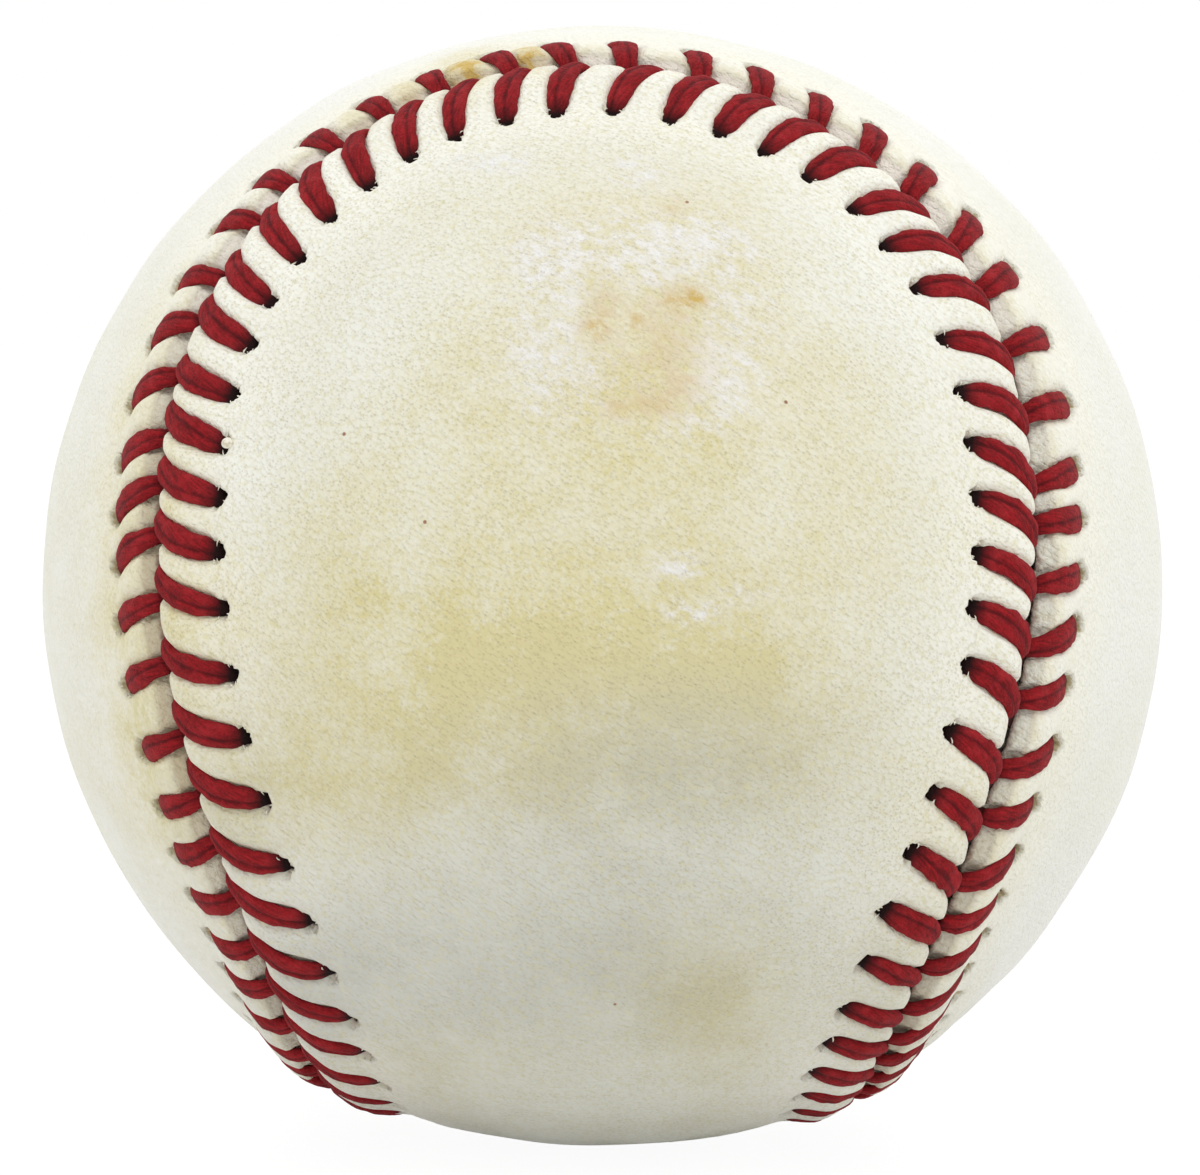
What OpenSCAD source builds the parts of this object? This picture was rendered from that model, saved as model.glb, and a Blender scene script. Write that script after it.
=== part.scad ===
// A hand-sewn baseball: a rubber and cork pill, four windings of yarn, two figure-eight
// hide panels and one red thread whose two ends are sewn side by side round the seam.
// Millimetres. The origin is the ball's centre, and +Z leaves through the waist of the upper panel.

/* [Ball] */
// Diameter over the smooth hide
ball_d = 73.8; // [72.8:0.1:74.8]

/* [Pill] */
// Diameter of the cork and rubber centre
cork_d = 20.6; // [18:0.1:22]
// Wall of the two black rubber half shells
half_shell_t = 4.0; // [3:0.1:5]
// Thickness of the washer between the half shells
washer_t = 1.2; // [0.8:0.1:2]
// Wall of the red rubber moulded round the half shells
pill_cover_t = 2.4; // [1.8:0.1:3]

/* [Windings] */
// Build-up of the second winding, three-ply white wool
second_winding_t = 1.75; // [1.2:0.05:2.4]
// Build-up of the third winding, three-ply grey wool
third_winding_t = 2.25; // [1.6:0.05:3]
// Build-up of the finishing winding, fine white cotton yarn
finish_winding_t = 0.5; // [0.3:0.05:0.8]

/* [Cover] */
// Thickness of the hide
hide_t = 1.2; // [1:0.05:1.5]
// Height that the sewn edges stand above the smooth hide
seam_lift = 1.0; // [0.9:0.05:1.2]
// Height above the smooth hide at the stitch holes, where the thread draws it down
hole_lift = 0.3; // [0.25:0.05:0.45]
// Width of the flat top of the raised edge, from the middle of the seam
lift_flat_w = 2.0; // [1.5:0.1:2.5]
// Distance from the middle of the seam at which the hide is smooth again
lift_end_w = 12; // [10:0.5:13]
// Gap between the two sewn edges
seam_gap = 0.95; // [0.85:0.05:1.1]
// Rounding of the outer corner of each edge
edge_round = 0.45; // [0.3:0.05:0.5]

/* [Seam] */
// Angle by which a lobe's centre stands off the plane between the two waists
lobe_rise = 18.6; // [16:0.2:20]
// Length of the straight stretch of seam at each side of a lobe's round end
straight_len = 11.5; // [9:0.1:14]

/* [Stitches] */
// Number of double stitches, a multiple of four
stitches = 108; // [100:4:112]
// Distance of the stitch holes from the middle of the seam
hole_off = 5.0; // [4.9:0.1:5.4]
// Diameter of the stitch holes
hole_d = 1.45; // [1.4:0.05:1.65]
// Width of the thread where it lies on the hide
thread_w = 1.5; // [1.2:0.05:1.7]
// Thickness of the thread where it lies on the hide
thread_t = 0.65; // [0.5:0.05:0.75]
// Width of the thread where a hole or the seam pinches it
pinch_w = 1.2; // [1:0.05:1.3]
// Thickness of the thread where the seam pinches it
pinch_t = 0.5; // [0.4:0.05:0.6]
// Thickness of the thread pressed flat beneath the hide
under_t = 0.35; // [0.3:0.05:0.4]
// Lean of a stitch along the seam on the upper panel, from its hole to the seam
lean_upper = 0.9; // [0.8:0.05:1]
// Lean of a stitch along the seam on the lower panel, from its hole to the seam
lean_lower = 2.4; // [2.3:0.05:2.6]

/* [Hidden] */
$fn = 96;

// Radii of the layers, from the centre out. The first winding fills what the others leave.
cork_r = cork_d / 2;
half_shell_r = cork_r + half_shell_t;
pill_r = half_shell_r + pill_cover_t;
ball_r = ball_d / 2;
wound_r = ball_r - hide_t;
third_r = wound_r - finish_winding_t;
second_r = third_r - third_winding_t;
first_r = second_r - second_winding_t;

// Clearance between the thread and what it lies on
lay_gap = 0.08;
// Clearance between the thread and the hide above it, which also clears the hide's facets
under_gap = 0.15;
// Room for the cement between the winding and the hide, which also clears the hide's facets
cement_gap = 0.2;
// Overrun of a cut past the surface that it opens
overrun = 0.4;

// Millimetres of great circle on the smooth hide for each degree
mm_per_deg = ball_r * PI / 180;

// The seam has four like quarters, each round one lobe: a small-circle arc over the lobe's end
// and a straight great-circle run at each side, which meets the next quarter at a bend point.
lobe_axis = [0, -cos(lobe_rise), sin(lobe_rise)];
lobe_up = [0, sin(lobe_rise), cos(lobe_rise)];
lobe_side = [1, 0, 0];
// Angles at the ball's centre from a lobe's axis to a bend point and to its round end. The
// straight run is tangent to the round end, so the three make a right-angled triangle.
bend_deg = acos(cos(lobe_rise) / sqrt(2));
lobe_reach = acos(cos(bend_deg) / cos(straight_len / mm_per_deg));
arc_half_deg = atan(sin(lobe_rise)) + asin(tan(lobe_reach) / tan(bend_deg));
arc_half_len = arc_half_deg * sin(lobe_reach) * mm_per_deg;
quarter_len = 2 * (arc_half_len + straight_len);
seam_len = 4 * quarter_len;
pitch = seam_len / stitches;
// Place of the first hole, as a share of the pitch past the tip of the first lobe
first_hole_share = 0.16;

// Unit point and travel direction on the arc over a lobe's end, at an angle from its tip
function arc_point(a) = cos(lobe_reach) * lobe_axis
    + sin(lobe_reach) * (cos(a) * lobe_up + sin(a) * lobe_side);
function arc_travel(a) = cos(a) * lobe_side - sin(a) * lobe_up;

// The turn that carries one quarter of the seam to the next: a quarter turn about Z, upside down
function next_quarter(p, times) = times == 0 ? p : next_quarter([-p.y, p.x, -p.z], times - 1);

function clamp(value, low, high) = min(max(value, low), high);
function wrap(value, period) = value - period * floor(value / period);
function unit(v) = v / norm(v);

// Unit point, travel direction and direction towards the upper panel, at a length along the seam
function seam_frame(s) =
    let (
        around = wrap(s + quarter_len / 2, seam_len),
        quarter = floor(around / quarter_len),
        local = around - quarter * quarter_len - quarter_len / 2,
        on_arc = clamp(local, -arc_half_len, arc_half_len),
        a = on_arc / arc_half_len * arc_half_deg,
        run = (local - on_arc) / mm_per_deg,
        p = cos(run) * arc_point(a) + sin(run) * arc_travel(a),
        t = cos(run) * arc_travel(a) - sin(run) * arc_point(a),
        point = next_quarter(p, quarter),
        travel = next_quarter(t, quarter)
    )
    [point, travel, cross(point, travel)];

// Unit direction of the place at length s along the seam and w across it. The upper panel is at
// w above zero and the lower panel below it.
function place(s, w) =
    let (f = seam_frame(s))
    cos(w / mm_per_deg) * f[0] + sin(w / mm_per_deg) * f[2];

// Height that the hide is lifted at a distance from the middle of the seam: a flat top, a half
// cosine down to the holes and another down to the smooth hide
function ramp(w, from_w, to_w) = (1 + cos(180 * clamp((abs(w) - from_w) / (to_w - from_w), 0, 1))) / 2;
function lift(w) = (seam_lift - hole_lift) * ramp(w, lift_flat_w, hole_off)
    + hole_lift * ramp(w, hole_off, lift_end_w);

// A closed hollow ball
module hollow_ball(outer_r, inner_r) {
    difference() {
        sphere(r = outer_r);
        sphere(r = inner_r);
    }
}

module cork_core() {
    color("peru") sphere(r = cork_r);
}

// One black rubber half shell, cut back from the joint plane by half the washer
module half_shell() {
    color([0.12, 0.12, 0.12])
    rotate_extrude()
    difference() {
        intersection() {
            circle(r = half_shell_r);
            translate([0, washer_t / 2]) square(half_shell_r);
        }
        circle(r = cork_r);
    }
}

module half_shell_upper() {
    half_shell();
}

module half_shell_lower() {
    mirror([0, 0, 1]) half_shell();
}

// The flat red washer that seals the joint of the half shells, rounded to both balls
module shell_washer() {
    color("indianred")
    intersection() {
        hollow_ball(half_shell_r, cork_r);
        cylinder(h = washer_t, r = half_shell_r, center = true);
    }
}

module pill_cover() {
    color("firebrick") hollow_ball(pill_r, half_shell_r);
}

module first_winding() {
    color("slategray") hollow_ball(first_r, pill_r);
}

module second_winding() {
    color("whitesmoke") hollow_ball(second_r, first_r);
}

module third_winding() {
    color("darkgray") hollow_ball(third_r, second_r);
}

module finish_winding() {
    color("white") hollow_ball(wound_r, third_r);
}

// The lower panel is a closed mesh between its edge loop and its spine. The spine is the
// great circle from one lobe's centre to the other through the waist. Each station of the
// loop is joined to its own point of the spine by a row of points.
stations = 72;
// Stations to each side of a lobe's tip whose rows all end at the lobe's centre
fan_stations = floor(arc_half_len / seam_len * stations);
spine_points = stations / 2 - 2 * fan_stations + 1;
spine_half_deg = 90 + lobe_rise;
edge_w = seam_gap / 2;
// Distance from the middle of the seam of each row on the outer face, as the edge rounds over
outer_rows = [
    edge_w, edge_w + edge_round / 3, edge_w + edge_round, lift_flat_w,
    (lift_flat_w + hole_off) / 2, hole_off, (hole_off + lift_end_w) / 2, lift_end_w
];
// Drop of the outer face below the lifted hide at each of those rows
outer_drops = [edge_round, edge_round / 4, 0, 0, 0, 0, 0, 0];
inner_rows = [edge_w, lift_flat_w, hole_off, lift_end_w];
// Shares of the way from the last row to the spine
field_shares = [0.2, 0.4, 0.6, 0.8];

function spine_id(j) = clamp(min(j, stations - j), fan_stations, stations / 2 - fan_stations)
    - fan_stations;
function spine_point(id) =
    let (a = spine_half_deg * (1 - 2 * id / (spine_points - 1)))
    [0, -sin(a), -cos(a)];

// Point on the way from one unit direction to another along their great circle
function between(p, q, share) =
    let (whole = acos(clamp(p * q, -1, 1)))
    (sin((1 - share) * whole) * p + sin(share * whole) * q) / sin(whole);

// Rings of one face of the panel from the edge inwards, as [ring][station]
function face_rings(rows, drops, base_r) = concat(
    [for (i = [0 : len(rows) - 1])
        [for (j = [0 : stations - 1])
            (base_r + lift(rows[i]) - drops[i]) * place(j / stations * seam_len, -rows[i])]],
    [for (share = field_shares)
        [for (j = [0 : stations - 1])
            base_r * between(
                place(j / stations * seam_len, -lift_end_w), spine_point(spine_id(j)), share)]]
);
function face_spine(base_r) = [for (id = [0 : spine_points - 1]) base_r * spine_point(id)];

// Two triangles on four points in turn, split along the shorter diagonal
function quad(points, a, b, c, d) =
    norm(points[a] - points[c]) < norm(points[b] - points[d])
    ? [[a, b, c], [a, c, d]] : [[a, b, d], [b, c, d]];
// The strip between two rings, given the number of the first point of each
function strip(points, a, b) = [
    for (j = [0 : stations - 1]) let (k = (j + 1) % stations)
    each quad(points, a + j, a + k, b + k, b + j)
];
// The last ring to the spine, with single triangles where a row shares its spine point
function spine_strip(points, a, spine) = [
    for (j = [0 : stations - 1])
    let (k = (j + 1) % stations, m = spine + spine_id(j), n = spine + spine_id(k))
    each (m == n ? [[a + j, a + k, m]] : quad(points, a + j, a + k, n, m))
];
function flipped(faces) = [for (f = faces) [f[2], f[1], f[0]]];
function flat(rings) = [for (ring = rings) each ring];

module lower_panel_blank() {
    outer = face_rings(outer_rows, outer_drops, ball_r);
    inner = face_rings(inner_rows, [for (row = inner_rows) 0], wound_r + cement_gap);
    outer_n = len(outer);
    inner_n = len(inner);
    outer_spine = outer_n * stations;
    inner_first = outer_spine + spine_points;
    inner_spine = inner_first + inner_n * stations;
    points = concat(
        flat(outer), face_spine(ball_r), flat(inner), face_spine(wound_r + cement_gap));
    outer_faces = concat(
        [for (i = [0 : outer_n - 2]) each strip(points, i * stations, (i + 1) * stations)],
        spine_strip(points, (outer_n - 1) * stations, outer_spine));
    inner_faces = concat(
        [for (i = [0 : inner_n - 2])
            each strip(points, inner_first + i * stations, inner_first + (i + 1) * stations)],
        spine_strip(points, inner_first + (inner_n - 1) * stations, inner_spine));
    polyhedron(points, concat(outer_faces, flipped(inner_faces), strip(points, inner_first, 0)));
}

// Length along the seam of a stitch's holes, the same on both panels
function hole_s(i) = (i + first_hole_share) * pitch;

// A straight drill through the hide at a place given by length along the seam and width across it
module drill(s, w, d) {
    axis = place(s, w);
    turn = acos(axis.z);
    rotate([0, turn, atan2(axis.y, axis.x)])
    translate([0, 0, wound_r - overrun])
    cylinder(h = hide_t + seam_lift + 2 * overrun, d = d, $fn = 24);
}

module cover_panel_lower() {
    color("ivory")
    difference() {
        lower_panel_blank();
        for (i = [0 : stitches - 1]) drill(hole_s(i), -hole_off, hole_d);
    }
}

// The upper panel is the same cut of hide, a quarter turn on and upside down
module cover_panel_upper() {
    rotate([0, 0, 90]) mirror([0, 0, 1]) cover_panel_lower();
}

// One run of thread. It comes up through a hole, crosses the hide to the seam, dives between the
// edges, lies under the other panel and comes up through that panel's next hole.
thread_sides = 6;
// Share of a stitch's lean that it has made at its hole's mouth, and half way to the seam
mouth_lean_share = 0.06;
half_lean_share = 0.5;
// Distance towards the seam, as shares of the hole's diameter, at which the thread turns level
mouth_share = 0.25;
under_share = 0.4;
// Share of its full height over the hide at which the thread leaves its hole
mouth_rise_share = 0.85;

// Stops of one stitch: [length along the seam, width across it, height above the smooth hide,
// width and thickness of the thread]. Side is 1 on the upper panel and -1 on the lower. The
// stops are the hole, its mouth, half way to the seam, the dive's top and bottom, and the next
// hole from below.
function stitch_stops(i, side) =
    let (
        s = hole_s(i),
        lean = side > 0 ? lean_upper : lean_lower,
        over = thread_t / 2 + lay_gap,
        under = hide_t - cement_gap + under_t / 2 + under_gap,
        mouth_w = hole_off - mouth_share * hole_d,
        half_w = hole_off / 2,
        under_w = hole_off - under_share * hole_d
    )
    [
        [s, side * hole_off, lift(hole_off) - hide_t / 2, pinch_w, pinch_t],
        [s + lean * mouth_lean_share, side * mouth_w, lift(mouth_w) + over * mouth_rise_share,
            pinch_w, thread_t],
        [s + lean * half_lean_share, side * half_w, lift(half_w) + over, thread_w, thread_t],
        [s + lean, 0, seam_lift + pinch_t / 2 + lay_gap, pinch_w, pinch_t],
        [s + lean, 0, seam_lift - under - pinch_t / 4, pinch_w, pinch_t],
        [hole_s(i + 1), -side * under_w, lift(under_w) - under, pinch_w, under_t]
    ];

// A stop's centre in space
function stop_centre(stop) = (ball_r + stop[2]) * place(stop[0], stop[1]);

// The ring of thread round a stop. Its width lies along the hide, square to the travel.
function stop_ring(before, stop, after) =
    let (
        centre = stop_centre(stop),
        ahead = unit(stop_centre(after) - stop_centre(before)),
        along = seam_frame(stop[0])[1],
        wide = unit(along - (along * ahead) * ahead),
        thick = cross(ahead, wide)
    )
    [for (k = [0 : thread_sides - 1])
        let (a = 360 * k / thread_sides)
        centre + stop[3] / 2 * cos(a) * wide + stop[4] / 2 * sin(a) * thick];

// A run starts on one panel and changes sides at each stitch. Its ends stay hidden in a hole and
// under the hide.
module thread_run(first_side) {
    stops = [
        for (i = [0 : stitches - 1]) each stitch_stops(i, first_side * (i % 2 == 0 ? 1 : -1))];
    last = len(stops) - 2;
    rings = [
        for (k = [0 : last])
        stop_ring(stops[max(k - 1, 0)], stops[k], stops[k + 1])];
    n = thread_sides;
    skin = [
        for (k = [0 : last - 1]) for (m = [0 : n - 1])
        let (a = k * n + m, b = k * n + (m + 1) % n)
        each [[a, b + n, b], [a, a + n, b + n]]];
    start_cap = [for (m = [1 : n - 2]) [0, m, m + 1]];
    end_cap = [for (m = [1 : n - 2]) [last * n, last * n + m + 1, last * n + m]];
    color("firebrick") polyhedron(flat(rings), concat(skin, start_cap, end_cap));
}

module thread_run_left() {
    thread_run(1);
}

module thread_run_right() {
    thread_run(-1);
}

cork_core();
half_shell_upper();
half_shell_lower();
shell_washer();
pill_cover();
first_winding();
second_winding();
third_winding();
finish_winding();
cover_panel_upper();
cover_panel_lower();
thread_run_left();
thread_run_right();
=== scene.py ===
"""Looks of a hand-sewn baseball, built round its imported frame.

The two cowhide panels and the two runs of waxed thread are modelled as sewn goods: the hide
swells between the stitches and sinks under them, and each run is one cord from hole to hole.
The four windings are balls of real yarn turns, and the rubber and cork pill keeps its solids.
"""

from __future__ import annotations

import logging
import math
from collections.abc import Sequence
from dataclasses import dataclass, field
from enum import Enum
from typing import Any

import bpy
import numpy as np
from mathutils import Matrix, Vector


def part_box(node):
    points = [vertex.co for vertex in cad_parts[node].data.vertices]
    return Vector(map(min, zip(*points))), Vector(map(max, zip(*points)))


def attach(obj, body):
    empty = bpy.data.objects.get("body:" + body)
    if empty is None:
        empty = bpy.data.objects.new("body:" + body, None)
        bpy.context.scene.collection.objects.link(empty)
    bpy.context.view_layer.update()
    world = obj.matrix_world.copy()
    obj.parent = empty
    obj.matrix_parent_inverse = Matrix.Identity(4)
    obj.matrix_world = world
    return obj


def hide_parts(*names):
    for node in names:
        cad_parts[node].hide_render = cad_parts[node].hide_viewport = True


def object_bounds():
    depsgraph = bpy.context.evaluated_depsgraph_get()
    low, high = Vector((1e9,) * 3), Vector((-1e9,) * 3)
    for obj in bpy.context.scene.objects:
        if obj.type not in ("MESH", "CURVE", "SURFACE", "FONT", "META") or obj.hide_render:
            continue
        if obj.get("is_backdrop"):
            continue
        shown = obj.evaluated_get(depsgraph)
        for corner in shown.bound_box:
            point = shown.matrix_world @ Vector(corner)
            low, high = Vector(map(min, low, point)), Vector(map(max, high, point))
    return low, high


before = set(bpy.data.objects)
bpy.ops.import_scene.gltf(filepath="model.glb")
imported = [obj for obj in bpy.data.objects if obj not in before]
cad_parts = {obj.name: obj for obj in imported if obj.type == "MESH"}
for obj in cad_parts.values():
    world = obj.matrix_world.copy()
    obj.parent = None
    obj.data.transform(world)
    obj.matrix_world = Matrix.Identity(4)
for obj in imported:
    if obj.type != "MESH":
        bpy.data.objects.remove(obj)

log = logging.getLogger("baseball")

Array = np.ndarray
MM = 0.001
TAU = 2 * math.pi


class Side(Enum):
    """A cover panel, by the sign of the width across the seam on which it lies."""

    LOWER = -1
    UPPER = 1

    @property
    def other(self) -> Side:
        """The panel across the seam."""
        return Side(-self.value)


def by_side(lower: Any, upper: Any) -> Any:
    """A dataclass field that holds one value for each panel."""
    return field(default_factory=lambda: {Side.LOWER: lower, Side.UPPER: upper})


def smooth_step(low: float, high: float, value: Array) -> Array:
    """Rises from 0 at low to 1 at high along 3x^2 - 2x^3.

    Args:
        low: Where the rise starts.
        high: Where the rise ends.
        value: Numbers to map.

    Returns:
        The rise at each value.
    """
    x = np.clip((value - low) / (high - low), 0, 1)
    return x * x * (3 - 2 * x)


def bell(value: Array, width: float) -> Array:
    """Bell curve exp(-(value / width)^2)."""
    return np.exp(-((value / width) ** 2))


def unit(v: Array) -> Array:
    """Each row of v divided by its length."""
    return v / np.linalg.norm(v, axis=-1, keepdims=True)


def ripple(points: Array, wavelength: float, seed: int, waves: int = 14) -> Array:
    """Smooth unevenness: a sum of sine waves in seeded directions through space.

    Args:
        points: Places in millimetres, with the three coordinates last.
        wavelength: Middle wavelength in millimetres.
        seed: Seed of the directions and phases.
        waves: Number of waves.

    Returns:
        Values of about -1 to 1 at the places.
    """
    rng = np.random.default_rng(seed)
    ways = unit(rng.normal(size=(waves, 3))) * TAU / (wavelength * rng.uniform(0.7, 1.4, (waves, 1)))
    phases = rng.uniform(0, TAU, waves)
    return np.sin(points @ ways.T + phases).sum(-1) / math.sqrt(waves)


@dataclass
class Skin:
    """A mesh in the making: rings of points and the triangles between them."""

    points: list[Array] = field(default_factory=list)
    faces: list[Array] = field(default_factory=list)
    count: int = 0

    def add_points(self, points: Array) -> Array:
        """Adds points and returns their numbers.

        Args:
            points: Places in millimetres, one a row.

        Returns:
            The numbers of the new points.
        """
        numbers = np.arange(self.count, self.count + len(points))
        self.points.append(points)
        self.count += len(points)
        return numbers

    def strip(self, a: Array, b: Array) -> None:
        """Two triangles for each pair of neighbours of two closed rings, or of two stacks of them."""
        a1, b1 = np.roll(a, -1, axis=-1), np.roll(b, -1, axis=-1)
        for corners in ((a, a1, b1), (a, b1, b)):
            self.faces.append(np.stack(corners, -1).reshape(-1, 3))

    def loft(self, rings: list[Array], flip: bool = False) -> None:
        """Strips from each ring to the next, turned round if asked."""
        for a, b in zip(rings, rings[1:]):
            self.strip(*((b, a) if flip else (a, b)))

    def three_to_one(self, fine: Array, coarse: Array, flip: bool = False) -> None:
        """Joins a closed ring to one of a third of its count, with four triangles a group.

        Args:
            fine: Numbers of the fine ring.
            coarse: Numbers of the coarse ring.
            flip: Turns the triangles round.
        """
        f0, f1, f2 = fine[0::3], fine[1::3], fine[2::3]
        f3, c1 = np.roll(f0, -1), np.roll(coarse, -1)
        for corners in ((f0, f1, coarse), (f1, c1, coarse), (f1, f2, c1), (f2, f3, c1)):
            self.faces.append(np.stack(corners[::-1] if flip else corners, 1))

    def to_spine(self, ring: Array, spine: Array, flip: bool = False) -> None:
        """Joins a closed ring to a line of points that several of its columns may share.

        Args:
            ring: Numbers of the ring.
            spine: Number of the spine's point for each column.
            flip: Turns the triangles round.
        """
        r1, s1 = np.roll(ring, -1), np.roll(spine, -1)
        fans = np.stack([ring, r1, s1], 1)
        gaps = np.stack([ring, s1, spine], 1)[spine != s1]
        for faces in (fans, gaps):
            self.faces.append(faces[:, ::-1] if flip else faces)


def make_piece(name: str, skin: Skin, marks: dict[str, Array] | None = None) -> bpy.types.Object:
    """Turns a skin into a smooth mesh object at the origin, in metres, with its faces outwards.

    Args:
        name: Name of the piece.
        skin: Its points in millimetres and its triangles.
        marks: Point attributes by name, of one or three numbers a point.

    Returns:
        The linked object.
    """
    points = np.concatenate(skin.points)
    faces = np.concatenate(skin.faces)
    a, b, c = (points[faces[:, k]] for k in range(3))
    if np.einsum("ij,ij->i", a, np.cross(b, c)).sum() < 0:
        faces = faces[:, ::-1]
    mesh = bpy.data.meshes.new(name)
    mesh.vertices.add(len(points))
    mesh.vertices.foreach_set("co", (points * MM).astype(np.float32).ravel())
    mesh.loops.add(faces.size)
    mesh.loops.foreach_set("vertex_index", faces.astype(np.int32).ravel())
    mesh.polygons.add(len(faces))
    mesh.polygons.foreach_set("loop_start", np.arange(0, faces.size, 3, dtype=np.int32))
    mesh.update(calc_edges=True)
    mesh.polygons.foreach_set("use_smooth", np.ones(len(faces), bool))
    for key, values in (marks or {}).items():
        kind, slot = ("FLOAT", "value") if values.ndim == 1 else ("FLOAT_VECTOR", "vector")
        layer = mesh.attributes.new(key, kind, "POINT")
        layer.data.foreach_set(slot, values.astype(np.float32).ravel())
    mesh.validate()
    piece = bpy.data.objects.new(name, mesh)
    bpy.context.scene.collection.objects.link(piece)
    return piece


def place_piece(piece: bpy.types.Object, node: str | None, finish: bpy.types.Material) -> None:
    """Dresses a piece, rides it on the ball and hides the CAD node that it stands for.

    Args:
        piece: The new piece.
        node: CAD node that the piece replaces, if it replaces one.
        finish: Its material.
    """
    piece.data.materials.append(finish)
    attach(piece, "root")
    if node:
        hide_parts(node)
    log.info("%s: %d triangles for %s", piece.name, len(piece.data.polygons), node or "the skin")


@dataclass(frozen=True)
class PhotoView:
    """Where the photograph's camera stands, and how its frame falls on the ball."""

    ball_r: float
    frame_px: tuple[int, int] = (1200, 1175)
    centre_px: tuple[float, float] = (602.8, 585.8)
    outline_px: float = 560.0
    azimuth: float = 0.95
    elevation: float = 4.03
    roll: float = 0.97
    distance_share: float = 7.75
    sensor_mm: float = 36.0
    clip_m: float = 0.01

    @property
    def focal_px(self) -> float:
        """Focal length in pixels, from the outline that a ball shows at that distance."""
        return self.outline_px * math.sqrt(self.distance_share**2 - 1)

    @property
    def axes(self) -> tuple[Array, Array, Array]:
        """Unit directions of the camera's right, up and back."""
        az, el, roll = (math.radians(a) for a in (self.azimuth, self.elevation, self.roll))
        back = np.array([math.sin(az) * math.cos(el), -math.cos(az) * math.cos(el), math.sin(el)])
        level = np.array([math.cos(az), math.sin(az), 0])
        above = np.cross(back, level)
        right = math.cos(roll) * level + math.sin(roll) * above
        up = math.cos(roll) * above - math.sin(roll) * level
        return right, up, back

    def on_ball(self, x_px: float, y_px: float) -> Array:
        """Unit direction of the point of the smooth ball that a pixel shows.

        Args:
            x_px: Pixels from the photograph's left edge.
            y_px: Pixels from its top edge.

        Returns:
            The direction from the ball's centre.
        """
        right, up, back = self.axes
        across = (x_px - self.centre_px[0]) / self.focal_px
        rise = (self.centre_px[1] - y_px) / self.focal_px
        ray = unit(across * right + rise * up - back)
        eye = back * self.distance_share
        near = eye @ ray
        reach = -near - math.sqrt(max(near * near - eye @ eye + 1, 0.0))
        return unit(eye + reach * ray)

    def make_camera(self) -> None:
        """Adds the scene's camera, with the small shift of the photograph's framing."""
        right, up, back = self.axes
        data = bpy.data.cameras.new("photo_camera")
        data.sensor_width = self.sensor_mm
        data.lens = self.sensor_mm * self.focal_px / self.frame_px[0]
        data.shift_x = (self.frame_px[0] / 2 - self.centre_px[0]) / self.frame_px[0]
        data.shift_y = (self.centre_px[1] - self.frame_px[1] / 2) / self.frame_px[0]
        data.clip_start = self.clip_m
        camera = bpy.data.objects.new("photo_camera", data)
        turn = Matrix([right, up, back]).transposed().to_4x4()
        place = Vector(back) * self.distance_share * self.ball_r * MM
        camera.matrix_world = Matrix.Translation(place) @ turn
        bpy.context.scene.collection.objects.link(camera)
        bpy.context.scene.camera = camera


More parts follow.
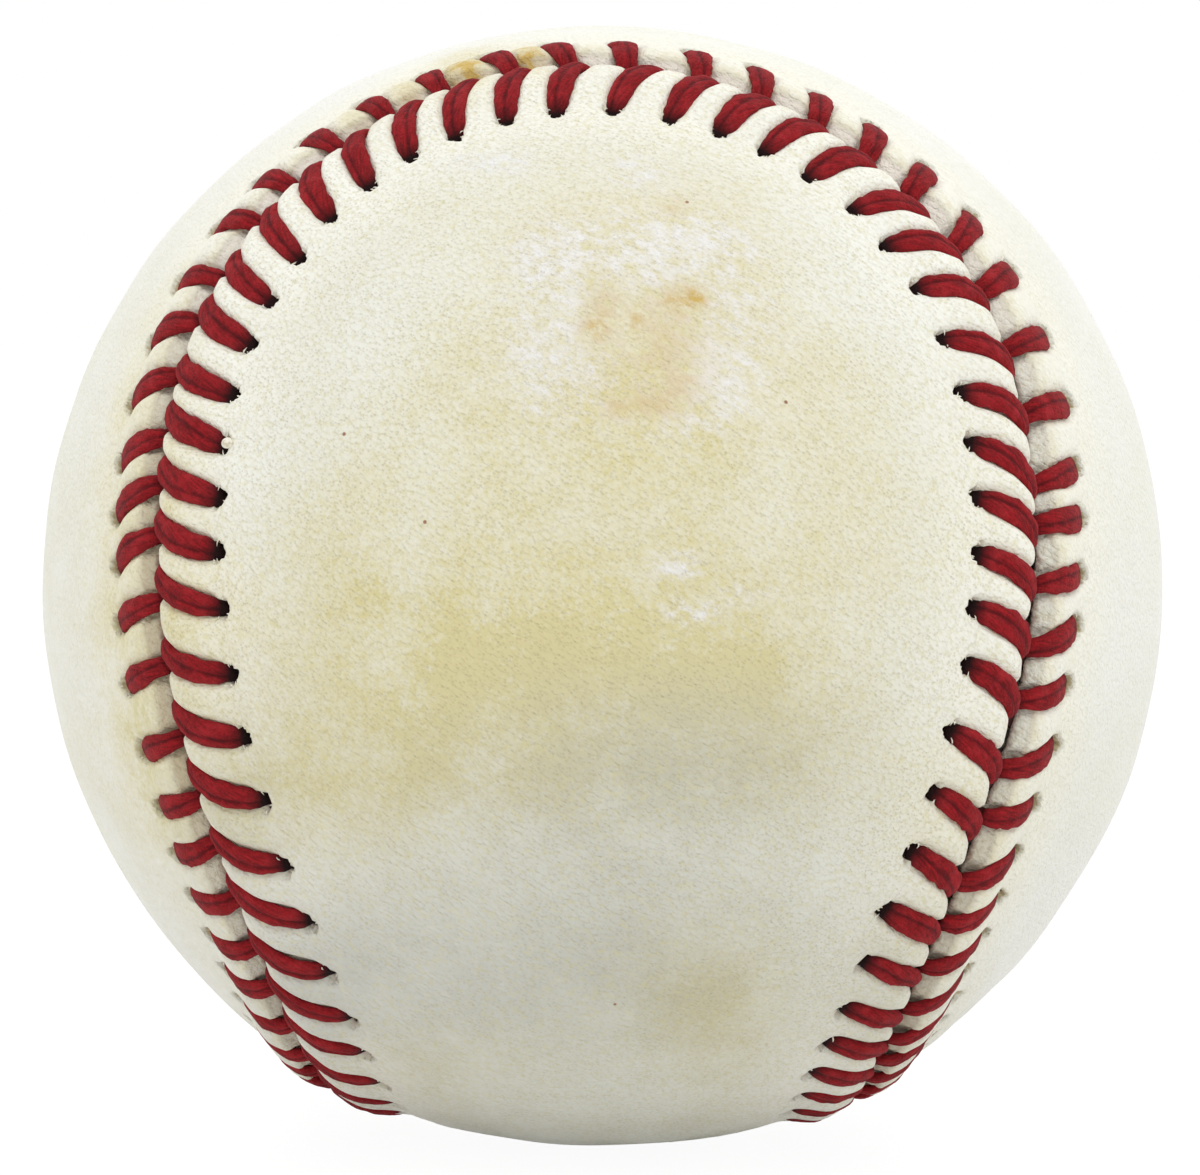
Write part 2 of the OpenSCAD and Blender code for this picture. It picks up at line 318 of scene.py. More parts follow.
@dataclass(frozen=True)
class Seam:
    """The closed line of the seam: four like quarters, each round one lobe of a panel.

    A quarter is a small-circle arc over the lobe's end and a straight great-circle run at each
    side. The turn (x, y, z) to (-y, x, -z) carries one quarter to the next.
    """

    ball_r: float
    lobe_rise: float = math.radians(18.6)
    straight_len: float = 11.5
    stitches: int = 108
    first_hole_share: float = 0.16

    @property
    def bend(self) -> float:
        """Angle at the ball's centre from a lobe's axis to the joint of two quarters."""
        return math.acos(math.cos(self.lobe_rise) / math.sqrt(2))

    @property
    def lobe_reach(self) -> float:
        """Angle at the ball's centre from a lobe's axis to its round end."""
        return math.acos(math.cos(self.bend) / math.cos(self.straight_len / self.ball_r))

    @property
    def arc_half(self) -> float:
        """Half the angle of the arc over a lobe's end, about the lobe's axis."""
        turn = math.asin(math.tan(self.lobe_reach) / math.tan(self.bend))
        return math.atan(math.sin(self.lobe_rise)) + turn

    @property
    def arc_half_len(self) -> float:
        """Half the length of the arc over a lobe's end."""
        return self.arc_half * math.sin(self.lobe_reach) * self.ball_r

    @property
    def quarter_len(self) -> float:
        """Length of one quarter of the seam."""
        return 2 * (self.arc_half_len + self.straight_len)

    @property
    def length(self) -> float:
        """Length of the whole seam."""
        return 4 * self.quarter_len

    @property
    def pitch(self) -> float:
        """Length of seam for each stitch."""
        return self.length / self.stitches

    def frames(self, s: Array) -> tuple[Array, Array, Array]:
        """Point, travel and direction towards the upper panel, at lengths along the seam.

        Args:
            s: Lengths in millimetres from the tip of the lower panel's first lobe.

        Returns:
            Three arrays of unit vectors.
        """
        around = np.mod(s + self.quarter_len / 2, self.length)
        quarter = np.floor(around / self.quarter_len).astype(int) % 4
        local = around - quarter * self.quarter_len - self.quarter_len / 2
        on_arc = np.clip(local, -self.arc_half_len, self.arc_half_len)
        a = (on_arc / self.arc_half_len * self.arc_half)[..., None]
        run = ((local - on_arc) / self.ball_r)[..., None]
        rise, reach = self.lobe_rise, self.lobe_reach
        axis = np.array([0, -math.cos(rise), math.sin(rise)])
        up = np.array([0, math.sin(rise), math.cos(rise)])
        side = np.array([1.0, 0, 0])
        arc = math.cos(reach) * axis + math.sin(reach) * (np.cos(a) * up + np.sin(a) * side)
        arc_travel = np.cos(a) * side - np.sin(a) * up
        point = np.cos(run) * arc + np.sin(run) * arc_travel
        travel = np.cos(run) * arc_travel - np.sin(run) * arc
        turn = np.array([[0, -1, 0], [1, 0, 0], [0, 0, -1]])
        turns = np.stack([np.linalg.matrix_power(turn, k) for k in range(4)])[quarter]
        point, travel = (np.einsum("...ij,...j->...i", turns, way) for way in (point, travel))
        return point, travel, np.cross(point, travel)

    def place(self, s: Array, w: Array) -> Array:
        """Unit direction at lengths s along the seam and widths w across it."""
        point, _, across = self.frames(s)
        angle = (w / self.ball_r)[..., None]
        return np.cos(angle) * point + np.sin(angle) * across

    def spine(self, share: Array, side: Side) -> Array:
        """Unit direction on a panel's spine, the great circle from lobe to lobe over its waist.

        Args:
            share: From 0 at the first lobe's centre to 1 at the other's.
            side: The panel.

        Returns:
            Unit vectors.
        """
        a = (math.pi / 2 + self.lobe_rise) * (1 - 2 * share)
        low = np.stack([np.zeros_like(a), -np.sin(a), -np.cos(a)], -1)
        if side is Side.LOWER:
            return low
        return np.stack([-low[..., 1], low[..., 0], -low[..., 2]], -1)


@dataclass(frozen=True)
class Trend:
    """A value read off the photograph at a few stitches and drawn out evenly between them."""

    stitches: tuple[float, ...]
    values: tuple[float, ...]

    def at(self, u: Array, count: int) -> Array:
        """The value at stitch numbers u of a closed seam of so many stitches."""
        return np.interp(u, self.stitches, self.values, period=count)


# How far the stitches have crept along the seam from their even places, in millimetres
CREEP = Trend(
    (-30, -24, -22, -17, -15, -14, -13, -12, -11, -6, -1, 1,
     4, 7, 8, 9.5, 11, 12.5, 14, 16, 19, 21, 22.5, 28),
    (0, -0.9, -0.3, -0.2, 0.4, 0.7, 0.5, 0.1, -0.35, -0.4, -0.35, 0.4,
     0.5, 1.0, 1.3, 2.0, 1.4, 1.0, 0.7, 1.2, 1.25, 0.9, 0.2, 0),
)
# Lean of each panel's stitches from hole to seam, in millimetres
LOWER_LEAN = Trend((-30, -20, -8, 2, 5, 8, 13, 18, 30), (2.1, 2.3, 2.2, 2.0, 2.5, 2.5, 2.1, 1.8, 2.1))
UPPER_LEAN = Trend((-30, -18, -3, 0, 2, 9, 19, 25), (0.95, 0.95, 0.85, 1.05, 1.45, 1.5, 1.45, 0.95))
# Distance of each panel's tongues from the seam's middle, in millimetres
LOWER_REACH = Trend(
    (-40, -18, -7, -5, -3, -1, 1, 3, 10, 12, 16, 18.5, 22, 30),
    (0.4, 0.45, 0.45, 0.25, 0.15, 0.3, 0.45, 0.5, 0.6, 0.85, 0.95, 0.6, 0.5, 0.4),
)
UPPER_REACH = Trend((-30, 0, 16, 20, 30), (0.32, 0.3, 0.35, 0.45, 0.32))
# How far the seam's middle has been drawn over towards the lower panel, in millimetres
SWAY = Trend(
    (-30, -18, -8, -5, -3, 0, 3, 8, 10, 12, 20, 30),
    (0, 0.1, 0.15, 0, 0, 0.2, 0.6, 0.6, 0.3, 0, -0.1, 0),
)
# How far the lower row of holes stands off its even distance from the seam, in millimetres
LOWER_ROW = Trend((-12, -7, -4, 0, 5, 9, 12, 20, 26), (0, 0.3, 0, 0.1, 0, -0.1, -0.3, -0.3, 0))


class Slip(Enum):
    """A way in which handwork goes astray, by its row of the drawn slips."""

    ALONG = 0
    LEAN = 1
    WIDTH = 2
    ACROSS = 3


@dataclass
class Sewing:
    """Where every stitch lies on both panels, with the small slips of handwork.

    A stitch's place is a number of stitches u along the seam, whole at the middle of an arm of
    thread. An arm leaves its hole nearly square to the seam and leans over towards it.
    """

    seam: Seam
    hole_off: float = 5.0
    lean: dict[Side, Trend] = by_side(LOWER_LEAN, UPPER_LEAN)
    slip_lean: dict[Side, float] = by_side(0.4, 0.5)
    bow: dict[Side, float] = by_side(0.5, 1.15)
    width_ends: dict[Side, tuple[float, float]] = by_side((1.4, 1.12), (1.12, 1.44))
    width_bulge: float = 0.4
    slip_along: float = 0.14
    slip_across: float = 0.16
    slip_width: float = 0.12
    bend_back: float = 1.5
    row_from: tuple[float, float] = (1.5, 4.4)
    row_to: tuple[float, float] = (11.0, 6.0)
    sway_to: tuple[float, float] = (11.5, 6.0)
    lip_sway_to: tuple[float, float] = (4.5, 1.0)
    seed: int = 11

    def __post_init__(self) -> None:
        """Draws each stitch's slips from the seed."""
        rng = np.random.default_rng(self.seed)
        count = self.seam.stitches
        self.slips = {side: rng.uniform(-1, 1, (len(Slip), count)) for side in Side}

    def slip(self, side: Side, kind: Slip, u: Array) -> Array:
        """A slip between the stitches, drawn out evenly from one stitch to the next."""
        values = self.slips[side][kind.value]
        return np.interp(u, np.arange(len(values) + 1), np.append(values, values[0]),
                         period=len(values))

    def hole_s(self, side: Side, u: Array) -> Array:
        """Length along the seam of the holes, at stitch numbers u."""
        even = (u + self.seam.first_hole_share) * self.seam.pitch
        return even + CREEP.at(u, self.seam.stitches) + self.slip_along * self.slip(side, Slip.ALONG, u)

    def lean_at(self, side: Side, u: Array) -> Array:
        """Lean from hole to seam at stitch numbers u: the trend there with each stitch's slip."""
        stray = self.slip_lean[side] * self.slip(side, Slip.LEAN, u)
        return self.lean[side].at(u, self.seam.stitches) + stray

    def arm_s(self, side: Side, u: Array, a: Array) -> Array:
        """Length along the seam of the line that an arm follows, at distance a from the seam.

        The lean grows as k t + (1 - k) t^2, where t runs from 0 at the hole to 1 at the seam.
        Past the hole the line bends back to the square.
        """
        t = (self.hole_off - a) / self.hole_off
        k = self.bow[side]
        past = bell(np.minimum(t, 0) * self.hole_off, self.bend_back)
        share = np.where(t > 0, k * t + (1 - k) * t * t, k * t * past)
        return self.hole_s(side, u) + self.lean_at(side, u) * share

    def arm_slope(self, side: Side, u: Array, a: Array) -> Array:
        """Cosine of the angle between an arm and the square to the seam."""
        t = np.clip((self.hole_off - a) / self.hole_off, 0, 1.2)
        k = self.bow[side]
        slope = self.lean_at(side, u) * (k + 2 * (1 - k) * t) / self.hole_off
        return 1 / np.sqrt(1 + slope * slope)

    def width_at(self, side: Side, u: Array, a: Array) -> Array:
        """Distance from the seam of what lies at a.

        The hole row has slipped in or out, and the seam's sway carries the whole of the lower
        panel's row with it, but only the lip of the upper panel.
        """
        count = self.seam.stitches
        sway = SWAY.at(u, count)
        near = smooth_step(*self.row_from, a) * smooth_step(*self.row_to, a)
        width = a + self.slip_across * self.slip(side, Slip.ACROSS, u) * near
        if side is Side.LOWER:
            return width + sway * smooth_step(*self.sway_to, a) + LOWER_ROW.at(u, count) * near
        return width - sway * smooth_step(*self.lip_sway_to, a)

    def half_width(self, side: Side, u: Array, a: Array) -> Array:
        """Half the width of an arm of thread: fullest half way, narrower at its ends."""
        t = np.clip(a / self.hole_off, 0, 1)
        seam_end, hole_end = self.width_ends[side]
        full = seam_end + (hole_end - seam_end) * t + self.width_bulge * np.sin(math.pi * t)
        return (full + self.slip_width * self.slip(side, Slip.WIDTH, np.round(u))) / 2


@dataclass(frozen=True)
class Stain:
    """A soft oval mark on the hide, placed by the pixel of the photograph at its middle."""

    x_px: float
    y_px: float
    wide: float
    tall: float
    strength: float
    reach: float = 3.0

    def over(self, off: Array, right: Array, up: Array) -> Array:
        """Its bell exp(-(x/wide)^2 - (y/tall)^2) at places off its middle, kept to its reach."""
        near = np.linalg.norm(off, axis=1) < self.reach * max(self.wide, self.tall)
        return self.strength * bell(off @ right, self.wide) * bell(off @ up, self.tall) * near


# Ochre of hands and dust, strongest in a band over the middle of the handled panel. A mark
# below nothing stands for hide that stayed cleaner.
STAINS = (
    Stain(610, 560, 19.0, 17.0, 0.42),
    Stain(650, 330, 9.0, 7.0, 0.4),
    Stain(650, 220, 9.0, 3.5, 0.25),
    Stain(720, 360, 4.0, 5.0, 0.2),
    Stain(600, 440, 9.0, 4.0, 0.25),
    Stain(480, 380, 3.5, 4.5, 0.2),
    Stain(840, 440, 4.0, 8.0, 0.35),
    Stain(320, 620, 6.0, 10.0, 0.3),
    Stain(690, 675, 10.0, 6.0, 0.7),
    Stain(750, 725, 6.0, 4.0, 0.4),
    Stain(550, 580, 11.0, 4.0, 0.2),
    Stain(500, 690, 8.0, 5.0, 0.4),
    Stain(390, 670, 5.0, 7.0, 0.3),
    Stain(450, 650, 2.0, 5.0, 0.2),
    Stain(520, 775, 20.0, 3.0, 0.4),
    Stain(310, 800, 7.0, 3.5, 0.3),
    Stain(700, 985, 4.6, 4.0, 0.85),
    Stain(730, 1055, 4.0, 4.0, 0.3),
    Stain(885, 985, 3.0, 5.0, 0.35),
    Stain(960, 850, 3.0, 5.0, 0.4),
    Stain(450, 1060, 8.0, 3.0, 0.25),
    Stain(235, 810, 3.5, 6.0, 0.35),
    Stain(155, 590, 3.5, 14.0, 0.75),
    Stain(165, 770, 3.0, 5.0, 0.3),
    Stain(75, 610, 6.0, 16.0, 0.14),
    Stain(467, 78, 1.8, 2.2, 0.9),
    Stain(530, 68, 1.5, 1.6, 0.8),
    Stain(410, 104, 1.5, 1.3, 0.6),
    Stain(364, 132, 1.2, 1.2, 0.6),
    Stain(335, 315, 5.0, 6.0, -0.2),
    Stain(250, 460, 3.0, 5.0, -0.25),
    Stain(860, 320, 5.0, 7.0, -0.25),
    Stain(800, 470, 3.5, 4.5, -0.25),
    Stain(880, 670, 4.5, 5.0, -0.25),
)
# Grey marks over the low half of the same panel
LOW_GREY = (
    Stain(620, 850, 15.0, 9.0, 0.42),
    Stain(700, 750, 9.0, 4.0, 0.35),
    Stain(600, 990, 13.0, 6.0, 0.4),
    Stain(400, 970, 6.0, 6.0, 0.25),
    Stain(235, 830, 4.0, 7.0, 0.35),
    Stain(310, 990, 4.0, 5.0, 0.5),
    Stain(885, 990, 4.0, 5.0, 0.3),
)
# Patches whose grain has been scuffed to pale flakes, and where the flakes are rubbed away
SCUFFS = (
    Stain(640, 322, 7.8, 6.6, 1.0),
    Stain(642, 330, 4.2, 3.8, -0.7),
    Stain(548, 252, 2.4, 1.6, 0.5),
    Stain(690, 242, 3.6, 1.4, 0.5),
    Stain(545, 372, 2.0, 2.6, 0.35),
    Stain(705, 380, 2.6, 2.4, 0.35),
    Stain(492, 164, 3.2, 0.7, 0.8),
    Stain(636, 172, 2.2, 1.2, 0.5),
    Stain(675, 565, 1.5, 0.9, 0.9),
    Stain(685, 612, 1.8, 0.7, 0.8),
    Stain(745, 590, 2.6, 1.6, 0.4),
)
# Spots of darker ochre rubbed into the scuffed grain
RUBS = (
    Stain(682, 298, 1.3, 0.7, 0.9),
    Stain(695, 303, 0.6, 0.5, 0.7),
    Stain(594, 331, 0.9, 0.8, 0.8),
    Stain(637, 314, 0.6, 0.5, 0.8),
    Stain(604, 303, 1.1, 1.2, 0.5),
    Stain(662, 350, 2.8, 2.6, 0.45),
    Stain(681, 384, 1.1, 1.0, 0.4),
    Stain(621, 406, 1.2, 0.8, 0.5),
    Stain(658, 406, 1.6, 0.8, 0.5),
    Stain(675, 205, 1.0, 0.5, 0.5),
    Stain(467, 82, 1.1, 1.0, 1.0),
    Stain(473, 84, 0.7, 0.7, 0.6),
    Stain(530, 72, 1.0, 0.8, 1.1),
    Stain(412, 106, 0.8, 0.6, 0.4),
)
# Specks of brown dirt, by the pixel of each
SPECKS = ((344, 434), (425, 522), (954, 647), (899, 800), (932, 835), (687, 202), (786, 402), (615, 1005))


def marked(marks: tuple[Stain, ...], view: PhotoView, ways: Array) -> Array:
    """How strongly a set of oval marks, added up, colours each direction from the ball's centre.

    Args:
        marks: The marks.
        view: The photograph's view.
        ways: Unit directions.

    Returns:
        Strengths.
    """
    right, up, _ = view.axes
    total = np.zeros(len(ways))
    for mark in marks:
        off = (ways - view.on_ball(mark.x_px, mark.y_px)) * view.ball_r
        total += mark.over(off, right, up)
    return total


@dataclass
class CoverPanel:
    """One figure-eight panel of cowhide, 1.2 mm thick, drawn up to the seam by its stitches.

    Its outer face is a height over the smooth ball, worked out from the stitch number u along
    the seam and the distance a from the seam's middle.
    """

    sewing: Sewing
    side: Side
    reach: Trend
    recess: float
    wall_slope: float
    lip_r: float
    hide_t: float = 1.2
    seam_lift: float = 1.0
    hole_lift: float = 0.3
    lift_flat_w: float = 2.0
    lift_end_w: float = 12.0
    lip_sag: float = 0.16
    lip_wander: float = 0.09
    raw_rough: float = 0.05
    puff: float = 0.15
    furrow: float = 0.42
    hole_wide: float = 0.66
    hole_long: float = 0.66
    pit_depth: float = 1.0
    pit_taper: float = 0.35
    pit_rim: tuple[float, float] = (0.7, 1.04)
    pit_rags: tuple[tuple[float, int, float], ...] = ((0.1, 3, 2.1), (0.09, 5, 4.7))
    notch_at: float = 0.05
    notch_half: float = 0.1
    tongue_rise: float = 0.36
    edge_waves: tuple[tuple[float, float, int], ...] = ((0.07, 1.6, 5), (0.035, 0.3, 8))
    furrow_core: float = 0.7
    furrow_bank: float = 0.42
    puff_at: float = 2.4
    puff_span: float = 2.0
    dimple: float = 0.14
    dimple_span: float = 1.5
    sag_span: float = 1.1
    floor_t: float = 0.1
    wall_drops: tuple[float, ...] = (1.02, 0.9, 0.78, 0.66, 0.54)
    lip_turns: tuple[float, ...] = (0.0, 22.0, 45.0, 68.0, 90.0)
    near_shares: tuple[float, ...] = (0.06, 0.13, 0.22, 0.32, 0.43, 0.55, 0.67, 0.78, 0.89)
    edge_span: float = 4.2
    hole_rows: int = 14
    holes_end: float = 5.95
    beyond_at: tuple[float, ...] = (6.3, 6.9, 7.7, 8.8, 10.3)
    field_span: tuple[float, float] = (0.02, 0.96)
    field_rows: int = 16
    shoulder_span: float = 0.5
    lip_wave: float = 0.7
    ridge_span: float = 0.45
    raw_wave: float = 0.5
    fine_wave: float = 1.7
    fine_depth: float = 0.02
    slow_wave: float = 9.0
    slow_depth: float = 0.05
    flesh_at: tuple[float, ...] = (0.35, 2.0, 5.3, 8.0)
    flesh_shares: tuple[float, ...] = (0.25, 0.5, 0.75, 0.93)
    columns: int = 18
    spine_fan_share: float = 1 / 12

    @property
    def seam(self) -> Seam:
        """The seam's line."""
        return self.sewing.seam

    def lift(self, a: Array) -> Array:
        """Height to which the hide is drawn up: a flat top, then two half cosines down."""
        off = self.sewing.hole_off
        top = (1 + np.cos(math.pi * np.clip((a - self.lift_flat_w) / (off - self.lift_flat_w), 0, 1))) / 2
        foot = (1 + np.cos(math.pi * np.clip((a - off) / (self.lift_end_w - off), 0, 1))) / 2
        return (self.seam_lift - self.hole_lift) * top + self.hole_lift * foot

    def off_arm(self, u: Array, a: Array) -> Array:
        """Distance along the hide from the middle of the nearest arm, square to the arm."""
        off = self.sewing.hole_s(self.side, u) - self.sewing.hole_s(self.side, np.round(u))
        return np.abs(off) * self.sewing.arm_slope(self.side, u, a)

    def furrow_at(self, u: Array, a: Array) -> Array:
        """Share of the furrow pressed under an arm: full below it, gone a little beside it."""
        half = self.sewing.half_width(self.side, u, a)
        bank = (1 - self.furrow_core) * half + self.furrow_bank
        across = 1 - smooth_step(0.0, 1.0, (self.off_arm(u, a) - self.furrow_core * half) / bank)
        return across * smooth_step(self.sewing.hole_off + 0.3, self.sewing.hole_off - 0.9, a)

    def pit_at(self, u: Array, a: Array) -> Array:
        """Share of a stitch hole's depth: an oval pit with a ragged rim behind the thread."""
        stitch = np.round(u)
        along = self.sewing.arm_s(self.side, u, a) - self.sewing.hole_s(self.side, stitch)
        y = (a - self.sewing.hole_off) / self.hole_long
        x = along / (self.hole_wide * (1 - self.pit_taper * np.clip(y, -0.3, 1)))
        turn = np.arctan2(y, x)
        ragged = sum(depth * np.sin(lobes * turn + shift * stitch) for depth, lobes, shift in self.pit_rags)
        return 1 - smooth_step(*self.pit_rim, np.hypot(x, y) + ragged)

    def height(self, u: Array, a: Array) -> Array:
        """Height of the outer face over the smooth ball.

        The drawn-up hide, less the sag of its lip, with a swell between the arms, a furrow
        under each of them and a pit at each hole.
        """
        between = 1 - np.cos(math.pi * np.clip(self.off_arm(u, a) / (self.seam.pitch / 2), 0, 1))
        swell = self.puff * between / 2 * bell(a - self.puff_at, self.puff_span)
        off_hole = np.hypot(self.off_arm(u, a), a - self.sewing.hole_off)
        dimple = self.dimple * bell(off_hole, self.dimple_span)
        sag = self.lip_sag * bell(a, self.sag_span)
        face = self.lift(a) - sag + swell - dimple - self.furrow * self.furrow_at(u, a)
        floor = self.lift(a) - self.hide_t + self.floor_t
        return np.maximum(face - self.pit_depth * self.pit_at(u, a), floor)

    def edge_at(self, u: Array) -> Array:
        """Distance of the cut edge from the seam's middle: rounded tongues between the arms."""
        off = np.abs(u - self.notch_at - np.round(u - self.notch_at))
        dome = np.sqrt(1 - (1 - np.clip((off - self.notch_half) / self.tongue_rise, 0, 1)) ** 2)
        wander = sum(depth * self.along_edge(u, length, seed) for depth, length, seed in self.edge_waves)
        return self.reach.at(u, self.seam.stitches) + self.recess * (1 - dome) + wander

    def along_edge(self, u: Array, stitches: float, seed: int) -> Array:
        """Unevenness along the edge alone, whose waves are some stitches long."""
        return ripple(np.stack([u, 0 * u, 0 * u], -1), stitches, seed + self.side.value)

    def rows(self) -> tuple[Array, Array, Array]:
        """Rows of the outer face from the foot of the cut edge inwards.

        Returns:
            Distance from the foot's front, drop below the face and distance inwards from the
            lip's shoulder, for each row.
        """
        turn = np.radians(self.lip_turns)
        wall_drop = np.array(self.wall_drops)
        sunk = (wall_drop - self.lip_r) / (wall_drop[0] - self.lip_r)
        top = max(self.wall_slope, 0.0)
        lip = top + self.lip_r * (1 - np.cos(turn))
        near = lip[-1] + (self.edge_span - lip[-1]) * np.array(self.near_shares)
        holes = np.linspace(self.edge_span, self.holes_end, self.hole_rows)
        beyond = (*self.beyond_at, self.lift_end_w)
        off = np.concatenate([top - self.wall_slope * sunk, lip, near, holes, beyond])
        round_drop = self.lip_r * (1 - np.sin(turn))
        drop = np.concatenate([wall_drop, round_drop, np.zeros(len(off) - len(wall_drop) - len(turn))])
        return off, drop, np.maximum(off - lip[-1], 0)

    def from_edge(self, off: Array, edge: Array) -> Array:
        """Distance from the seam of a row, which gives way to the wavy edge near the seam."""
        return off + edge * np.clip(1 - off / self.edge_span, 0, None)

    def near_rows(self, skin: Skin, u: Array, edge: Array) -> tuple[list[Array], dict[str, Array]]:
        """Rings of the outer face from the foot of the cut edge to past the stitch holes.

        Args:
            skin: The mesh in the making.
            u: Stitch number of each column.
            edge: Distance of the cut edge from the seam's middle at each column.

        Returns:
            Numbers of the points of each ring, and their attributes by name.
        """
        r = self.seam.ball_r
        off, drop, inward = self.rows()
        uu = np.broadcast_to(u, (len(off), len(u)))
        a = self.from_edge(off[:, None], edge)
        shoulder = bell(inward, self.shoulder_span) * smooth_step(1.0, 0.5, drop)
        a = a + self.lip_wander * shoulder[:, None] * self.along_edge(u, self.lip_wave, 13)
        w = self.side.value * self.sewing.width_at(self.side, uu, a)
        ways = self.seam.place(self.sewing.arm_s(self.side, uu, a), w)
        uneven = self.fine_depth * ripple(ways * r, self.fine_wave, 3)
        uneven = uneven + self.slow_depth * ripple(ways * r, self.slow_wave, 4)
        raw = smooth_step(0.25, 0.6, drop)[:, None]
        tatters = self.raw_rough * ripple(ways * r, self.raw_wave, 6) * raw
        high = self.height(uu, a) - drop[:, None] + uneven + tatters
        rings = [skin.add_points(ring) for ring in (r + high)[..., None] * ways]
        skin.loft(rings)
        # The foot and pit marks also place painted shade in the hide's colour
        return rings, {
            "edge": np.repeat(smooth_step(0.12, 0.5, drop), len(u)),
            "foot": np.repeat(smooth_step(0.6, 1.02, drop), len(u)),
            "ridge": np.repeat(bell(inward, self.ridge_span), len(u)),
            "pit": self.pit_at(uu, a).ravel(),
            "furrow": self.furrow_at(uu, a).ravel(),
            "seamside": smooth_step(10.5, 4.6, a).ravel(),
        }

    def flesh_rows(self, skin: Skin, u: Array, edge: Array) -> list[Array]:
        """Rings of the flesh side from the cut edge to where the hide lies down on the ball.

        Args:
            skin: The mesh in the making.
            u: Stitch number of each column.
            edge: Distance of the cut edge from the seam's middle at each column.

        Returns:
            Numbers of the points of each ring.
        """
        rings = []
        for row in (*self.flesh_at, self.lift_end_w):
            width = self.from_edge(np.full(len(u), row), edge)
            way = self.seam.place(self.sewing.arm_s(self.side, u, width), self.side.value * width)
            high = self.seam.ball_r - self.hide_t + self.lift(width)
            rings.append(skin.add_points(high[:, None] * way))
        return rings

    def build(self, view: PhotoView) -> bpy.types.Object:
        """Makes the panel as one closed shell.

        Args:
            view: The photograph's view, which places the stains.

        Returns:
            The panel, undressed.
        """
        r = self.seam.ball_r
        skin = Skin()
        u = np.arange(self.seam.stitches * self.columns) / self.columns
        edge = self.edge_at(u)
        rings, marks = self.near_rows(skin, u, edge)

        # The field on the outside, with a third of the columns
        sparse = u[::3]
        end_w = np.full(len(sparse), self.lift_end_w)
        last = self.seam.place(self.sewing.arm_s(self.side, sparse, end_w), self.side.value * end_w)
        share, number, spine_count = self.spine_shares(len(sparse))
        spine = self.seam.spine(share, self.side)
        shares = np.linspace(*self.field_span, self.field_rows)
        outer = self.field(skin, last, spine, shares, r, self.slow_depth)
        skin.three_to_one(rings[-1], outer[0])
        skin.loft(outer)
        ends = self.seam.spine(np.arange(spine_count) / (spine_count - 1), self.side)
        top = skin.add_points(self.undulating(ends, r, self.slow_depth))
        skin.to_spine(outer[-1], top[number])

        # The flesh side
        flesh = self.flesh_rows(skin, sparse, edge[::3])
        skin.three_to_one(rings[0], flesh[0], flip=True)
        flesh += self.field(skin, last, spine, self.flesh_shares, r - self.hide_t, 0.0)
        skin.loft(flesh, flip=True)
        under = skin.add_points((r - self.hide_t) * ends)
        skin.to_spine(flesh[-1], under[number], flip=True)

        points = np.concatenate(skin.points)
        filled = {key: np.pad(values, (0, len(points) - len(values))) for key, values in marks.items()}
        filled["edge"][flesh[0][0]:] = 1.0
        directions = unit(points)
        for key, table in (("stain", STAINS), ("low_grey", LOW_GREY), ("scuff", SCUFFS), ("rub", RUBS)):
            filled[key] = marked(table, view, directions)
        return make_piece(f"cowhide_panel_{self.side.name.lower()}", skin, filled)

    def spine_shares(self, count: int) -> tuple[Array, Array, int]:
        """Each column's point of the spine, as a share and a number, and how many there are.

        Columns round a lobe's end share its centre. The others pair off across the spine.
        """
        start = 0 if self.side is Side.LOWER else count // 4
        column = (np.arange(count) - start) % count
        fan = round(self.spine_fan_share * count)
        half = count // 2
        number = np.clip(np.minimum(column, count - column), fan, half - fan) - fan
        return number / (half - 2 * fan), number, half - 2 * fan + 1

    def undulating(self, ways: Array, r: float, depth: float) -> Array:
        """Points at radius r along unit directions, with the hide's slow unevenness."""
        return (r + depth * ripple(ways * self.seam.ball_r, self.slow_wave, 4))[:, None] * ways

    def field(self, skin: Skin, start: Array, spine: Array, shares: Sequence[float], r: float,
              depth: float) -> list[Array]:
        """Rings on the great circles from the last row by the seam to the spine.

        Args:
            skin: The mesh in the making.
            start: Unit directions of the last row.
            spine: Unit direction of each column's point of the spine.
            shares: Shares of the way.
            r: Radius of the face.
            depth: Depth of its unevenness.

        Returns:
            Numbers of the points of each ring.
        """
        whole = np.arccos(np.clip((start * spine).sum(-1), -1, 1))[:, None]
        rings = []
        for share in shares:
            way = (np.sin((1 - share) * whole) * start + np.sin(share * whole) * spine) / np.sin(whole)
            rings.append(skin.add_points(self.undulating(way, r, depth)))
        return rings


